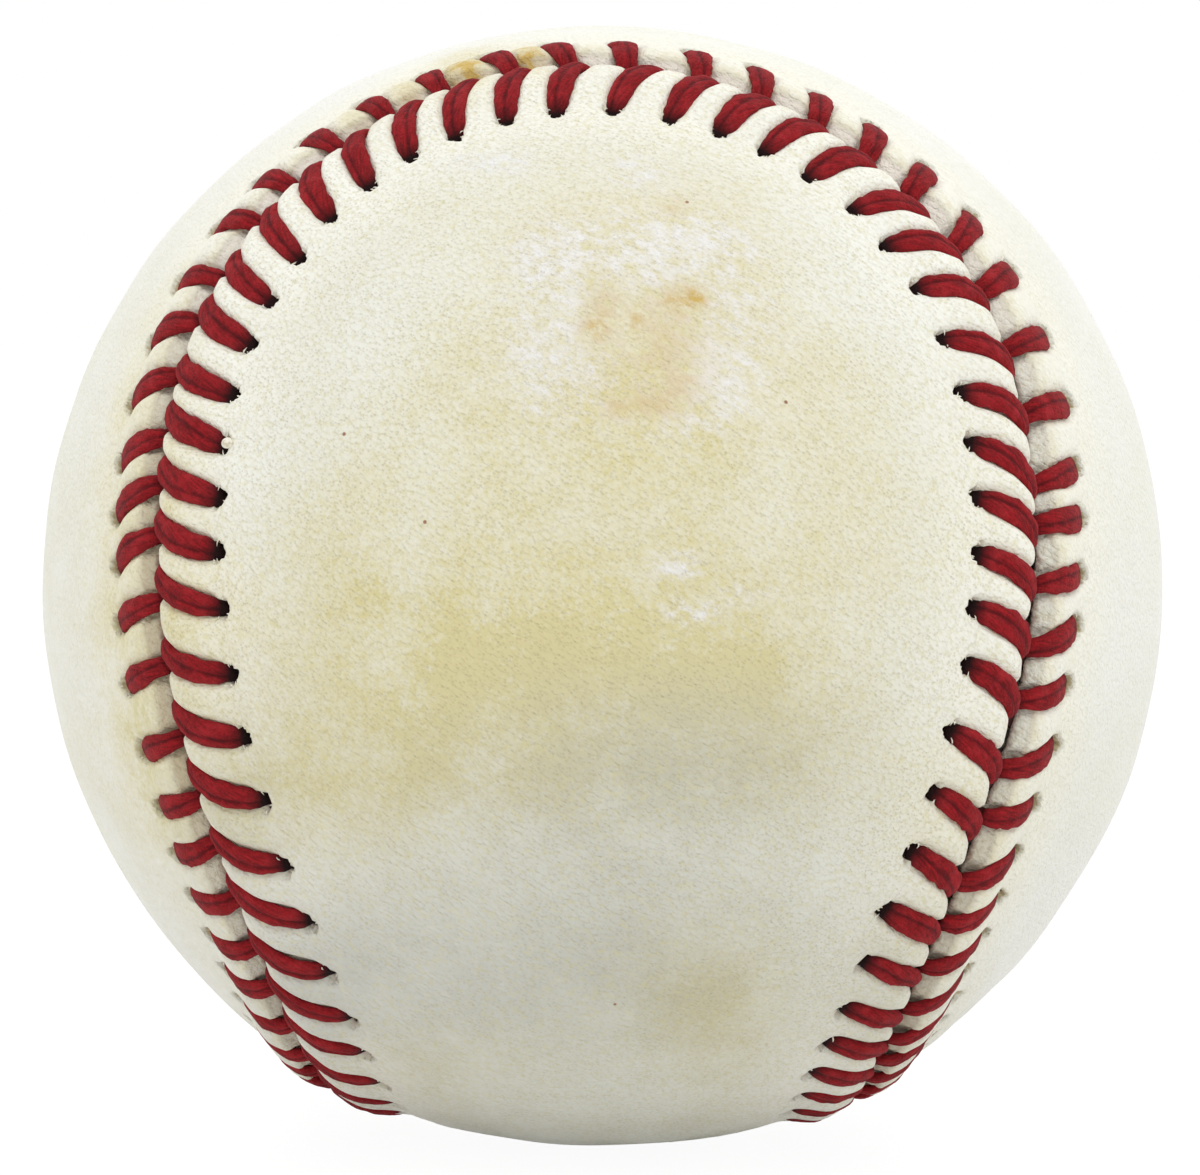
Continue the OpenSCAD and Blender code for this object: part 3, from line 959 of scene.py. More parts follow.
@dataclass(frozen=True)
class ArmStops:
    """What an arm of thread does at its twelve stops, from under its hole to under the seam.

    The first four are placed from the hole and the rest from the seam. Lengths and drops are
    in millimetres and the rest are shares. An arm lies on the hide where its lay isn't zero.
    """

    from_hole: tuple[float, ...] = (0.3, 0.32, 0.48, 0.9)
    from_seam: tuple[float, ...] = (3.3, 2.5, 1.75, 1.1, 0.6, 0.2, -0.1, -2.6)
    outward: tuple[float, ...] = (0.16, 0.16, 0.2, 0.18, 0, 0, 0, 0, 0, 0, 0, 0)
    pulled: tuple[float, ...] = (0, 0, 0, 0, 0, 0, 0.2, 0.6, 1, 1, 1, 0)
    lay: tuple[float, ...] = (0, 0, -0.4, 0.85, 1, 1, 1, 0.9, 0, 0, 0, 0)
    curl: tuple[float, ...] = (0, 0, 0, 0, 0, 0, 0, 0.1, 0.4, 0.8, 1.0, 1.0)
    thick: tuple[float, ...] = (0.5, 0.9, 1, 1, 1, 1, 1, 1, 1, 1, 0.75, 0.5)
    drops: dict[Side, tuple[float, ...]] = by_side(
        (-1.62, -0.9, 0, 0, 0, 0, 0, 0, -0.35, -0.72, -1.2, -1.62),
        (-1.62, -0.9, 0, 0, 0, 0, 0, 0, -0.55, -0.98, -1.3, -1.62))
    wide: dict[Side, tuple[float, ...]] = by_side(
        (0.8, 0.88, 1.02, 1.02, 1, 1, 0.98, 0.9, 0.78, 0.68, 0.62, 0.7),
        (0.8, 0.88, 1.02, 1.02, 1, 1, 1, 1, 1, 0.97, 0.85, 0.75))
    grooved: dict[Side, tuple[float, ...]] = by_side(
        (0, 0, 0.3, 1, 1, 0.9, 0.7, 0.55, 0.45, 0.4, 0.2, 0),
        (0, 0, 0, 0.1, 0.3, 0.5, 0.7, 0.9, 1, 0.9, 0.4, 0))


@dataclass
class ThreadRun:
    """One run of waxed cotton thread: out of a hole, over the hide, down the seam and on.

    Its stops are placed by distance from the seam and height, with a smooth curve through
    them. Its section is two strands side by side, with a groove between that wanders across.
    """

    sewing: Sewing
    panels: dict[Side, CoverPanel]
    name: str
    first_side: Side
    stops: ArmStops = field(default_factory=ArmStops)
    half_thick: float = 0.33
    bedding: float = 0.08
    curls: dict[Side, float] = by_side(0.72, 0.1)
    strand_points: int = 6
    steps: int = 3
    groove_depths: dict[Side, float] = by_side(0.36, 0.34)
    groove_drift: float = 0.8
    squareness: float = 2.3
    twist_len: float = 14.0
    shade_from: float = 0.3
    shade_depth: float = 0.6
    tongue_pull: float = 0.6
    even_reach: float = 0.45
    lip_w: float = 0.9
    clear_of_hole: float = 0.75
    crossing: tuple[float, float] = (0.45, 0.55)
    tilt_along: float = 0.3
    lumps: tuple[tuple[float, float], ...] = ((0.06, 1.1), (0.035, 0.4))
    seed: int = 23

    def arm(self, stitch: int, side: Side) -> tuple[Array, ...]:
        """The stops of one arm.

        Args:
            stitch: Number of the stitch.
            side: The panel that the arm lies on.

        Returns:
            Length along the seam, width across it, height over the smooth ball, half width,
            half thickness and depth of the groove at each stop.
        """
        sewing, panel, stops = self.sewing, self.panels[side], self.stops
        u = np.full(len(stops.lay), float(stitch))
        stop_a = np.array([*(sewing.hole_off - off for off in stops.from_hole), *stops.from_seam])
        if side is Side.UPPER:
            stop_a = stop_a + stops.outward
        else:
            pull = self.tongue_pull * (panel.reach.at(u, sewing.seam.stitches) - self.even_reach)
            stop_a = stop_a + pull * stops.pulled
        a = np.abs(stop_a)
        s = sewing.arm_s(side, u, np.maximum(stop_a, 0)) + self.curls[side] * np.array(stops.curl)
        next_s = sewing.hole_s(side.other, np.array([stitch + 1.0]))[0]
        s[-1] = self.crossing[0] * s[-2] + self.crossing[1] * next_s
        lay = np.array(stops.lay)
        hide = panel.height(u, np.clip(a, self.lip_w, sewing.hole_off - self.clear_of_hole))
        on_hide = hide + (self.half_thick - self.bedding) + (lay - 1) * self.half_thick
        h = np.where(lay != 0, on_hide, panel.lift(a) + stops.drops[side])
        return (
            s,
            side.value * sewing.width_at(side, u, stop_a),
            h,
            sewing.half_width(side, u, a) * stops.wide[side],
            self.half_thick * np.array(stops.thick),
            self.groove_depths[side] * np.array(stops.grooved[side]),
        )

    def smooth(self, values: Array) -> Array:
        """Points of the closed Catmull-Rom curve through the stops, a few for each span."""
        p0, p1, p2, p3 = (np.roll(values, k, axis=0) for k in (1, 0, -1, -2))
        t = (np.arange(self.steps) / self.steps).reshape(1, -1, *[1] * (values.ndim - 1))
        p0, p1, p2, p3 = (p[:, None] for p in (p0, p1, p2, p3))
        curve = p1 + 0.5 * t * (
            p2 - p0 + t * (2 * p0 - 5 * p1 + 4 * p2 - p3 + t * (3 * (p1 - p2) + p3 - p0)))
        return curve.reshape(-1, *values.shape[1:])

    def section(self, groove: Array, depth: Array) -> tuple[Array, Array]:
        """Section round the thread: two rounded strands that meet at a groove on both faces.

        A strand's outline is shared out in equal angles between the thread's edge and the
        groove, so the line of points along the groove stays in it as it wanders.

        Args:
            groove: Place of the groove across each ring, from -1 to 1.
            depth: Depth of the groove at each ring, as a share of half the thickness.

        Returns:
            Across and up, as shares of half the width and half the thickness.
        """
        n = self.strand_points
        at = np.arccos(np.clip(groove, -0.9, 0.9))[:, None]
        first = np.arange(n) / n
        turns = np.concatenate([
            at * first, at + (math.pi - at) * first,
            math.pi + (math.pi - at) * first, TAU - at + at * first], axis=1)
        x = np.cos(turns)
        y = (1 - np.abs(x) ** self.squareness).clip(0) ** (1 / self.squareness)
        y *= np.sign(np.sin(turns))
        dent = np.ones_like(y)
        for k, share in ((n, 1.0), (3 * n, 1.0), (n - 1, 0.12), (n + 1, 0.12)):
            dent[:, k] -= depth * share
        return x, y * dent

    def build(self) -> bpy.types.Object:
        """Makes the run as one closed tube."""
        path, travel, h, wide, thick, deep = (self.smooth(rows) for rows in self.all_stops())
        ahead = unit(np.roll(path, -1, axis=0) - np.roll(path, 1, axis=0))
        lean = np.cross(unit(path), ahead)
        lean *= np.sign((lean * travel).sum(-1, keepdims=True))
        along = lean + self.tilt_along * unit(travel)
        along = unit(along - (along * ahead).sum(-1, keepdims=True) * ahead)
        top = np.cross(along, ahead)
        x, y = self.section(self.groove_line(len(path)), deep)
        rings = (path[:, None] + (x * wide[:, None])[..., None] * along[:, None]
                 + (y * thick[:, None])[..., None] * top[:, None])
        uneven = sum(share * ripple(rings, wave, self.seed + k)
                     for k, (share, wave) in enumerate(self.lumps))
        rings = path[:, None] + (rings - path[:, None]) * (1 + uneven[..., None])
        skin = Skin()
        here = skin.add_points(rings.reshape(-1, 3)).reshape(rings.shape[:2])
        skin.strip(here, np.roll(here, -1, axis=0))
        reach = np.cumsum(np.linalg.norm(path - np.roll(path, 1, axis=0), axis=1))[:, None]
        log.info("%s: %.0f mm of thread", self.name, reach[-1, 0])
        turn = np.arctan2(y, x) + reach * TAU / self.twist_len
        strand = np.stack([np.cos(turn), np.sin(turn), np.broadcast_to(reach, x.shape)], -1)
        sunk = np.clip((self.shade_from - h) / self.shade_depth, 0, 1)[:, None]
        n = self.strand_points
        # Where the groove's painted shade falls: fully on its two lines of points, a quarter beside them
        in_groove = np.zeros_like(x)
        in_groove[:, [n, 3 * n]] = 1.0
        in_groove[:, [n - 1, n + 1, 3 * n - 1, 3 * n + 1]] = 0.25
        marks = {
            "strand": strand.reshape(-1, 3),
            "sunk": np.broadcast_to(sunk, x.shape).ravel(),
            "groove": in_groove.ravel(),
        }
        return make_piece(self.name, skin, marks)

    def all_stops(self) -> tuple[Array, ...]:
        """The stops of every arm, end to end.

        Returns:
            Place in space, travel of the seam, height, half width, half thickness and depth of
            the groove at each stop.
        """
        seam = self.sewing.seam
        sides = [self.first_side, self.first_side.other] * (seam.stitches // 2)
        arms = [self.arm(stitch, side) for stitch, side in enumerate(sides)]
        s, w, h, wide, thick, deep = (np.concatenate(rows) for rows in zip(*arms))
        _, travel, _ = seam.frames(s)
        return (seam.ball_r + h)[:, None] * seam.place(s, w), travel, h, wide, thick, deep

    def groove_line(self, count: int) -> Array:
        """Place of the groove at each ring: each arm's own start, drifting the same way."""
        rng = np.random.default_rng(self.seed)
        per_arm = count // self.sewing.seam.stitches
        start = rng.uniform(-0.3, 0.3, self.sewing.seam.stitches)
        drift = self.groove_drift * rng.uniform(0.3, 1.3, self.sewing.seam.stitches)
        t = np.linspace(-0.5, 0.5, per_arm)
        return (start[:, None] + drift[:, None] * t + 0.1 * np.sin(9 * t + 7 * start[:, None])).ravel()


@dataclass
class TornGrain:
    """Crumbs of hide at the stitch holes: flaps that the awl tore up, and one round bead.

    A flap is a tapered sliver from a point of the hole's rim towards its middle.
    """

    panels: dict[Side, CoverPanel]
    flaps: int = 4
    length: tuple[float, float] = (0.05, 0.36)
    half_wide: float = 0.055
    half_thick: float = 0.03
    bead_stitch: int = -11
    rim_span: tuple[float, float] = (-35.0, 215.0)
    heading_span: float = 45.0
    steps: tuple[float, ...] = (-0.3, 0.3, 0.75, 1.0)
    tapers: tuple[float, ...] = (1.0, 0.9, 0.55, 0.12)
    sunk: float = 0.14
    root_sunk: float = 0.1
    bead_half: tuple[float, float, float] = (0.34, 0.46, 0.3)
    bead_past: float = 0.42
    bead_lift: float = 0.02
    bead_rings: int = 9
    bead_sides: int = 16
    seed: int = 41

    def flap_rings(self, panel: CoverPanel, rng: np.random.Generator) -> Array:
        """Rings of four points along each flap of a panel's holes.

        Args:
            panel: The panel.
            rng: Source of the flaps' places, lengths and turns.

        Returns:
            Places by flap, ring, point and coordinate.
        """
        sewing = panel.sewing
        stitch = np.repeat(np.arange(sewing.seam.stitches), self.flaps)
        turn = np.radians(rng.uniform(*self.rim_span, len(stitch)))
        stray = rng.uniform(-self.heading_span, self.heading_span, len(stitch))
        heading = turn + math.pi + np.radians(stray)
        length = rng.uniform(*self.length, len(stitch))
        t = np.array(self.steps)
        along = panel.hole_wide * np.cos(turn)[:, None] + (length * np.cos(heading))[:, None] * t
        a = sewing.hole_off + panel.hole_long * np.sin(turn)[:, None]
        a = a + (length * np.sin(heading))[:, None] * t
        u = stitch[:, None] + 0 * a
        s = sewing.hole_s(panel.side, u) + along
        w = panel.side.value * sewing.width_at(panel.side, u, a)
        rise = rng.uniform(0.0, 0.2, len(stitch))[:, None]
        high = panel.lift(a) - self.sunk - 0.5 * rise * t - self.root_sunk * (t < 0)
        middle = (sewing.seam.ball_r + high)[..., None] * sewing.seam.place(s, w)
        out = unit(middle)
        forward = unit(np.gradient(middle, axis=1))
        across = unit(np.cross(out, forward))
        taper = np.array(self.tapers)[:, None, None]
        corner = np.array([0, 1, 2, 3]) * math.pi / 2
        wide = self.half_wide * np.cos(corner)[:, None] * across[:, :, None]
        thick = self.half_thick * np.sin(corner)[:, None] * out[:, :, None]
        return middle[:, :, None] + taper * (wide + thick)

    def add_tubes(self, skin: Skin, rings: Array) -> None:
        """Joins each flap's rings, and closes its ends."""
        count, steps, corners, _ = rings.shape
        ids = skin.add_points(rings.reshape(-1, 3)).reshape(count, steps, corners)
        skin.strip(ids[:, :-1], ids[:, 1:])
        for end, order in ((ids[:, 0], (0, 2, 1)), (ids[:, -1], (0, 1, 2))):
            skin.faces.append(end[:, order])
            skin.faces.append(end[:, [0, *(k + 1 for k in order[1:])]])

    def add_bead(self, skin: Skin) -> None:
        """The bead that stands in one hole of the lower panel: an oval of rings and two poles."""
        panel = self.panels[Side.LOWER]
        sewing = panel.sewing
        u = np.array([self.bead_stitch % sewing.seam.stitches], float)
        a = np.array([sewing.hole_off + self.bead_past])
        s = sewing.hole_s(Side.LOWER, u)
        middle, travel, across = (v[0] for v in sewing.seam.frames(s))
        out = sewing.seam.place(s, -sewing.width_at(Side.LOWER, u, a))[0]
        centre = (sewing.seam.ball_r + panel.lift(a)[0] + self.bead_lift) * out
        rise = np.linspace(-math.pi / 2, math.pi / 2, self.bead_rings + 2)[1:-1]
        round_ = np.arange(self.bead_sides) * TAU / self.bead_sides
        axes = np.stack([travel, across, out]) * np.array(self.bead_half)[:, None]
        ball = np.stack([
            np.cos(rise)[:, None] * np.cos(round_), np.cos(rise)[:, None] * np.sin(round_),
            np.sin(rise)[:, None] + 0 * round_], -1)
        rings = [skin.add_points(centre + ring @ axes) for ring in ball]
        skin.loft(rings)
        for ring, pole, order in ((rings[0], -1, (1, 0)), (rings[-1], 1, (0, 1))):
            tip = skin.add_points((centre + pole * axes[2])[None])
            pair = (ring, np.roll(ring, -1))
            skin.faces.append(np.stack([pair[order[0]], pair[order[1]], np.repeat(tip, len(ring))], 1))

    def build(self) -> bpy.types.Object:
        """Makes all the crumbs as one piece."""
        rng = np.random.default_rng(self.seed)
        skin = Skin()
        for panel in self.panels.values():
            self.add_tubes(skin, self.flap_rings(panel, rng))
        self.add_bead(skin)
        return make_piece("torn_grain", skin)


def linear(hex_colour: str) -> tuple[float, float, float, float]:
    """Turns an sRGB hex colour into the linear colour that a socket takes."""
    shares = [int(hex_colour[k : k + 2], 16) / 255 for k in (0, 2, 4)]
    return (*[c / 12.92 if c <= 0.04045 else ((c + 0.055) / 1.055) ** 2.4 for c in shares], 1.0)


def add_node(tree: bpy.types.NodeTree, kind: str, inputs: dict[str | int, Any] | None = None,
             **settings: Any) -> bpy.types.Node:
    """Adds a shader node with its settings and links.

    Args:
        tree: Node tree.
        kind: Node type without its ShaderNode prefix.
        inputs: A value, or a socket to link, for each input by name or number.
        settings: The node's own properties.

    Returns:
        The node.
    """
    node = tree.nodes.new("ShaderNode" + kind)
    for key, value in settings.items():
        setattr(node, key, value)
    for key, value in (inputs or {}).items():
        if isinstance(value, bpy.types.NodeSocket):
            tree.links.new(value, node.inputs[key])
        else:
            node.inputs[key].default_value = value
    return node


class Graph:
    """A material's node graph, with the few turns of it that every finish here uses."""

    def __init__(self, name: str, **shader: Any) -> None:
        """Starts a material with its shader, and with places in millimetres.

        Args:
            name: Name of the material.
            shader: Values of the shader's own sockets, with spaces as underscores.
        """
        self.material = bpy.data.materials.new(name)
        self.material.use_nodes = True
        self.tree = self.material.node_tree
        self.tree.nodes.clear()
        values = {key.replace("_", " "): value for key, value in shader.items()}
        self.shader = add_node(self.tree, "BsdfPrincipled", values)
        add_node(self.tree, "OutputMaterial", {"Surface": self.shader.outputs[0]})
        place = add_node(self.tree, "TexCoord").outputs["Object"]
        self.mm = self.scaled(place, (1000.0, 1000.0, 1000.0))

    def scaled(self, vector: Any, by: tuple[float, float, float]) -> Any:
        """A vector with each coordinate multiplied."""
        return add_node(self.tree, "VectorMath", {0: vector, 1: by}, operation="MULTIPLY").outputs[0]

    def in_rows(self, turn: float, long_mm: float, row_mm: float) -> Any:
        """Places turned about Y by an angle in degrees, in cells so long and so far apart."""
        around = add_node(self.tree, "VectorRotate", {
            "Vector": self.mm, "Rotation": (0, math.radians(turn), 0)}, rotation_type="EULER_XYZ")
        return self.scaled(around.outputs[0], (1 / long_mm, 1 / row_mm, 1 / row_mm))

    def cells(self, vector: Any, spacing: float, randomness: float = 1.0, output: str = "Distance",
              **settings: Any) -> Any:
        """Distance from the middle of the nearest cell, or another output of the same node."""
        return add_node(self.tree, "TexVoronoi", {
            "Vector": vector, "Scale": 1 / spacing, "Randomness": randomness}, **settings).outputs[output]

    def mark(self, name: str, output: str = "Fac") -> Any:
        """A point attribute of the piece."""
        return add_node(self.tree, "Attribute", attribute_name=name).outputs[output]

    def noise(self, vector: Any, size: float, detail: float = 2.0, rough: float = 0.5) -> Any:
        """Noise whose features are about that size in the vector's units."""
        return add_node(self.tree, "TexNoise", {
            "Vector": vector, "Scale": 1 / size, "Detail": detail, "Roughness": rough}).outputs[0]

    def spread(self, value: Any, low: float, high: float, to_low: float = 0.0, to_high: float = 1.0) -> Any:
        """Maps the span from low to high smoothly onto another, and clamps it there."""
        return add_node(self.tree, "MapRange", {
            "Value": value, "From Min": low, "From Max": high, "To Min": to_low, "To Max": to_high,
        }, interpolation_type="SMOOTHSTEP").outputs[0]

    def math(self, operation: str, a: Any, b: Any = 0.0) -> Any:
        """Arithmetic on two values, clamped from 0 to 1 only where a mix clamps it."""
        return add_node(self.tree, "Math", {0: a, 1: b}, operation=operation).outputs[0]

    def times(self, a: Any, b: Any) -> Any:
        """The product of two values."""
        return self.math("MULTIPLY", a, b)

    def plus(self, a: Any, b: Any) -> Any:
        """The sum of two values."""
        return self.math("ADD", a, b)

    def frayed(self, value: Any, noise: Any, depth: float) -> Any:
        """A value made uneven by a noise, up and down by half that depth."""
        return self.plus(value, self.times(self.math("SUBTRACT", noise, 0.5), depth))

    def mix(self, share: Any, below: Any, above: Any) -> Any:
        """One colour laid over another by a share. A colour is a hex string or a socket."""
        ends = [linear(c) if isinstance(c, str) else c for c in (below, above)]
        return add_node(self.tree, "Mix", {0: share, 6: ends[0], 7: ends[1]},
                        data_type="RGBA", clamp_factor=True).outputs[2]

    def colour(self, value: Any) -> None:
        """Sends a colour to the shader."""
        self.tree.links.new(value, self.shader.inputs["Base Color"])

    def roughness(self, value: Any) -> None:
        """Sends a roughness that varies over the surface to the shader."""
        self.tree.links.new(value, self.shader.inputs["Roughness"])

    def spot(self, place_mm: Array, reach_mm: float) -> Any:
        """One at a place on the ball, falling to zero at a distance from it."""
        off = add_node(self.tree, "VectorMath", {0: self.mm, 1: tuple(place_mm)}, operation="DISTANCE")
        return self.spread(off.outputs["Value"], 1.15 * reach_mm, 0.6 * reach_mm)

    def bump(self, height: Any, depth_mm: float) -> None:
        """Raises the surface by a height from 0 to 1 over a depth in millimetres."""
        node = add_node(self.tree, "Bump", {"Height": height, "Strength": 1.0, "Distance": depth_mm * MM})
        self.tree.links.new(node.outputs[0], self.shader.inputs["Normal"])


@dataclass(frozen=True)
class Cowhide:
    """Alum-tawed cowhide, full grain outside: matte and chalky, with pores in slanting rows.

    Handling has stained it ochre in soft clouds and rubbed one patch to white flakes.
    """

    name: str
    body: str
    shade: str
    seamside: str
    ridge: str
    wall: str
    grain_share: float
    view: PhotoView
    ochre: str = "DDD29C"
    low_grey: str = "BDBEB8"
    rubbed: str = "D2B260"
    pitted: str = "BBAA92"
    flake: str = "F2F1F0"
    pore: str = "BDB084"
    valley: str = "D9D29E"
    speck: str = "8E4A30"
    flesh: str = "F6F6E9"
    fibre: str = "DAD2B8"
    # Dark brown painted shade at the foot of the cut wall, deep in the seam, with some dye from the thread
    foot: str = "8E6553"
    # Near-white painted light on the raw cut wall, strongest towards the top of the ball
    clean: str = "FFF8EA"
    # Brown painted shade on the raw cut wall towards the bottom of the ball
    brown: str = "9E8163"
    # Darker yellow-grey for the furrows beside the arms
    furrow_tint: str = "C9C19A"
    # Near-black painted shade deep in the stitch holes
    pit: str = "20120F"
    pore_len_mm: float = 0.3
    pore_row_mm: float = 0.2
    pebble_len_mm: float = 0.62
    pebble_row_mm: float = 0.3
    row_turn: float = -33.0
    grain_mm: float = 0.16
    cloud_mm: float = 4.5
    flake_mm: float = 0.8
    flake_len_mm: float = 1 / 0.7
    flake_row_mm: float = 1 / 1.2
    speck_mm: float = 0.13
    bump_mm: float = 0.06

    def make(self) -> bpy.types.Material:
        """Builds the material."""
        g = Graph(self.name, Roughness=0.6, IOR=1.5)
        clouds = g.noise(g.mm, self.cloud_mm, 5.0, 0.62)
        mottle = g.noise(g.mm, 0.7, 3.0, 0.65)
        fleck = g.noise(g.mm, 0.32, 3.0, 0.7)
        fibres = g.noise(g.mm, 0.28, 4.0, 0.7)
        stain = g.mark("stain")
        base = self.stained(g, clouds, mottle, fleck, stain)

        # Pores in slanting rows, and the pebbles between them
        cells = g.cells(g.in_rows(self.row_turn, self.pore_len_mm, self.pore_row_mm), 1.0, 0.8)
        pores = g.spread(cells, 0.42, 0.2)
        bend = add_node(g.tree, "TexNoise", {"Vector": g.mm, "Scale": 0.6, "Detail": 2.0}).outputs["Color"]
        drawn = g.in_rows(self.row_turn, self.pebble_len_mm, self.pebble_row_mm)
        bent = add_node(g.tree, "VectorMath", {0: drawn, 1: g.scaled(bend, (0.5, 0.5, 0.5))},
                        operation="ADD").outputs[0]
        valleys = g.spread(g.cells(bent, 1.0, 0.9), 0.35, 0.8)
        dotted = g.times(pores, g.spread(clouds, 0.35, 0.65, 0.14, 0.33))
        base = g.mix(g.times(dotted, self.grain_share), base, self.pore)
        worn_in = g.times(valleys, g.spread(fleck, 0.35, 0.65, 0.0, 0.45))
        base = g.mix(g.times(worn_in, self.grain_share), base, self.valley)

        # Scuffed grain: pale flakes drawn out along the rows, with nicks between them
        scuff = g.mark("scuff")
        drawn_out = g.in_rows(self.row_turn, self.flake_len_mm, self.flake_row_mm)
        flakes = g.noise(drawn_out, self.flake_mm, 7.0, 0.75)
        white = g.spread(g.plus(flakes, g.times(scuff, 0.2)), 0.5, 0.76)
        white = g.times(white, g.spread(scuff, 0.02, 0.5, 0.0, 0.86))
        base = g.mix(white, base, self.flake)
        nicks = g.spread(g.noise(drawn_out, 0.22, 3.0, 0.6), 0.56, 0.72)
        base = g.mix(g.times(nicks, g.spread(scuff, 0.05, 0.6, 0.0, 0.45)), base, self.pitted)
        for x_px, y_px in SPECKS:
            place = self.view.on_ball(x_px, y_px) * self.view.ball_r
            base = g.mix(g.times(g.spot(place, self.speck_mm), 0.85), base, self.speck)
        # Darker yellow-grey hide in patches along the furrows under and beside the arms
        base = g.mix(g.times(g.mark("furrow"), g.spread(clouds, 0.3, 0.7, 0.1, 0.4)), base, self.furrow_tint)

        edge = g.mark("edge")
        base = self.cut(g, base, edge, mottle, fibres, stain, flakes)
        g.colour(base)
        g.roughness(g.spread(g.plus(clouds, g.times(white, 0.3)), 0.3, 0.8, 0.5, 0.75))
        grain = g.noise(g.mm, self.grain_mm, 3.0, 0.6)
        height = g.math("SUBTRACT", g.times(grain, 0.35), g.times(pores, 0.35))
        height = g.math("SUBTRACT", height, g.times(valleys, 0.75))
        height = g.plus(height, g.times(white, 0.25))
        height = g.plus(height, g.times(g.times(edge, fibres), 2.5))
        g.bump(height, self.bump_mm)
        return g.material

    def stained(self, g: Graph, clouds: Any, mottle: Any, fleck: Any, stain: Any) -> Any:
        """Colour of the tawed hide with its stains and the grey over its low half.

        Args:
            g: The material's graph.
            clouds: Wide noise.
            mottle: Noise of less than a millimetre.
            fleck: Finer noise.
            stain: Strength of the ochre.

        Returns:
            The colour.
        """
        soft = g.plus(g.times(clouds, 0.7), g.times(mottle, 0.3))
        base = g.mix(g.spread(g.noise(g.mm, 15.0, 3.0), 0.35, 0.7), self.body, self.shade)
        patchy = g.times(g.spread(soft, 0.3, 0.7, 0.45, 1.3), g.spread(fleck, 0.3, 0.7, 0.75, 1.25))
        ochre = g.plus(g.times(stain, patchy), g.spread(fleck, 0.5, 0.8, 0.0, 0.12))
        base = g.mix(g.times(g.mark("seamside"), g.spread(clouds, 0.3, 0.7, 0.6, 1.0)), base, self.seamside)
        base = g.mix(ochre, base, self.ochre)
        return g.mix(g.times(g.mark("low_grey"), g.spread(soft, 0.3, 0.7, 0.8, 1.2)), base, self.low_grey)

    def cut(self, g: Graph, base: Any, edge: Any, mottle: Any, fibres: Any, stain: Any, flakes: Any) -> Any:
        """Colour with the raw cut edge, its ridge and dark foot, the rubs and the torn holes.

        Args:
            g: The material's graph.
            base: Colour of the grain.
            edge: Where the edge is cut.
            mottle: Noise of less than a millimetre.
            fibres: Noise of loose fibres.
            stain: Strength of the ochre.
            flakes: Noise of the flakes.

        Returns:
            The colour, with painted light and shade on the raw edge, and painted shade at its foot and deep
            in the holes.
        """
        rise = add_node(g.tree, "SeparateXYZ", {"Vector": g.mm}).outputs["Z"]
        raw = g.mix(g.spread(fibres, 0.4, 0.72), self.flesh, self.fibre)
        # Painted light: the raw wall turns near-white towards the top of the ball
        raw = g.mix(g.spread(rise, 6.0, 30.0, 0.0, 0.95), raw, self.clean)
        # Painted shade: the raw wall turns brown towards the bottom of the ball
        raw = g.mix(g.spread(rise, -8.0, -28.0, 0.0, 0.4), raw, self.brown)
        raw = g.mix(g.times(stain, 0.8), raw, self.wall)
        base = g.mix(g.times(g.mark("ridge"), g.spread(mottle, 0.35, 0.65, 0.2, 0.8)), base, self.ridge)
        base = g.mix(g.spread(g.frayed(edge, fibres, 0.6), 0.1, 0.85), base, raw)
        base = g.mix(g.times(g.mark("rub"), g.spread(flakes, 0.4, 0.6, 0.15, 1.1)), base, self.rubbed)
        # Painted shade at the wall's foot in the crevice between the panels, with some dye from the thread,
        # weaker towards the top of the ball
        low = g.spread(g.frayed(g.mark("foot"), mottle, 1.6), 0.25, 1.0, 0.0, 0.7)
        base = g.mix(g.times(low, g.spread(rise, 4.0, 28.0, 1.0, 0.2)), base, self.foot)
        torn = g.frayed(g.mark("pit"), fibres, 0.9)
        base = g.mix(g.spread(torn, 0.12, 0.4), base, self.wall)
        # Painted shade: the deepest part of each hole is painted near-black
        return g.mix(g.spread(torn, 0.5, 0.75), base, self.pit)


@dataclass(frozen=True)
class HideCrumb:
    """Grain torn up from alum-tawed hide: its white inside, dry and matte."""

    white: str = "F4F0E2"
    tan: str = "D2C6A8"
    tuft_mm: float = 0.3

    def make(self) -> bpy.types.Material:
        """Builds the material."""
        g = Graph("cowhide_grain_torn", Roughness=0.8, IOR=1.5)
        tuft = g.noise(g.mm, self.tuft_mm, 3.0, 0.6)
        g.colour(g.mix(g.spread(tuft, 0.4, 0.7), self.white, self.tan))
        g.bump(tuft, 0.03)
        return g.material


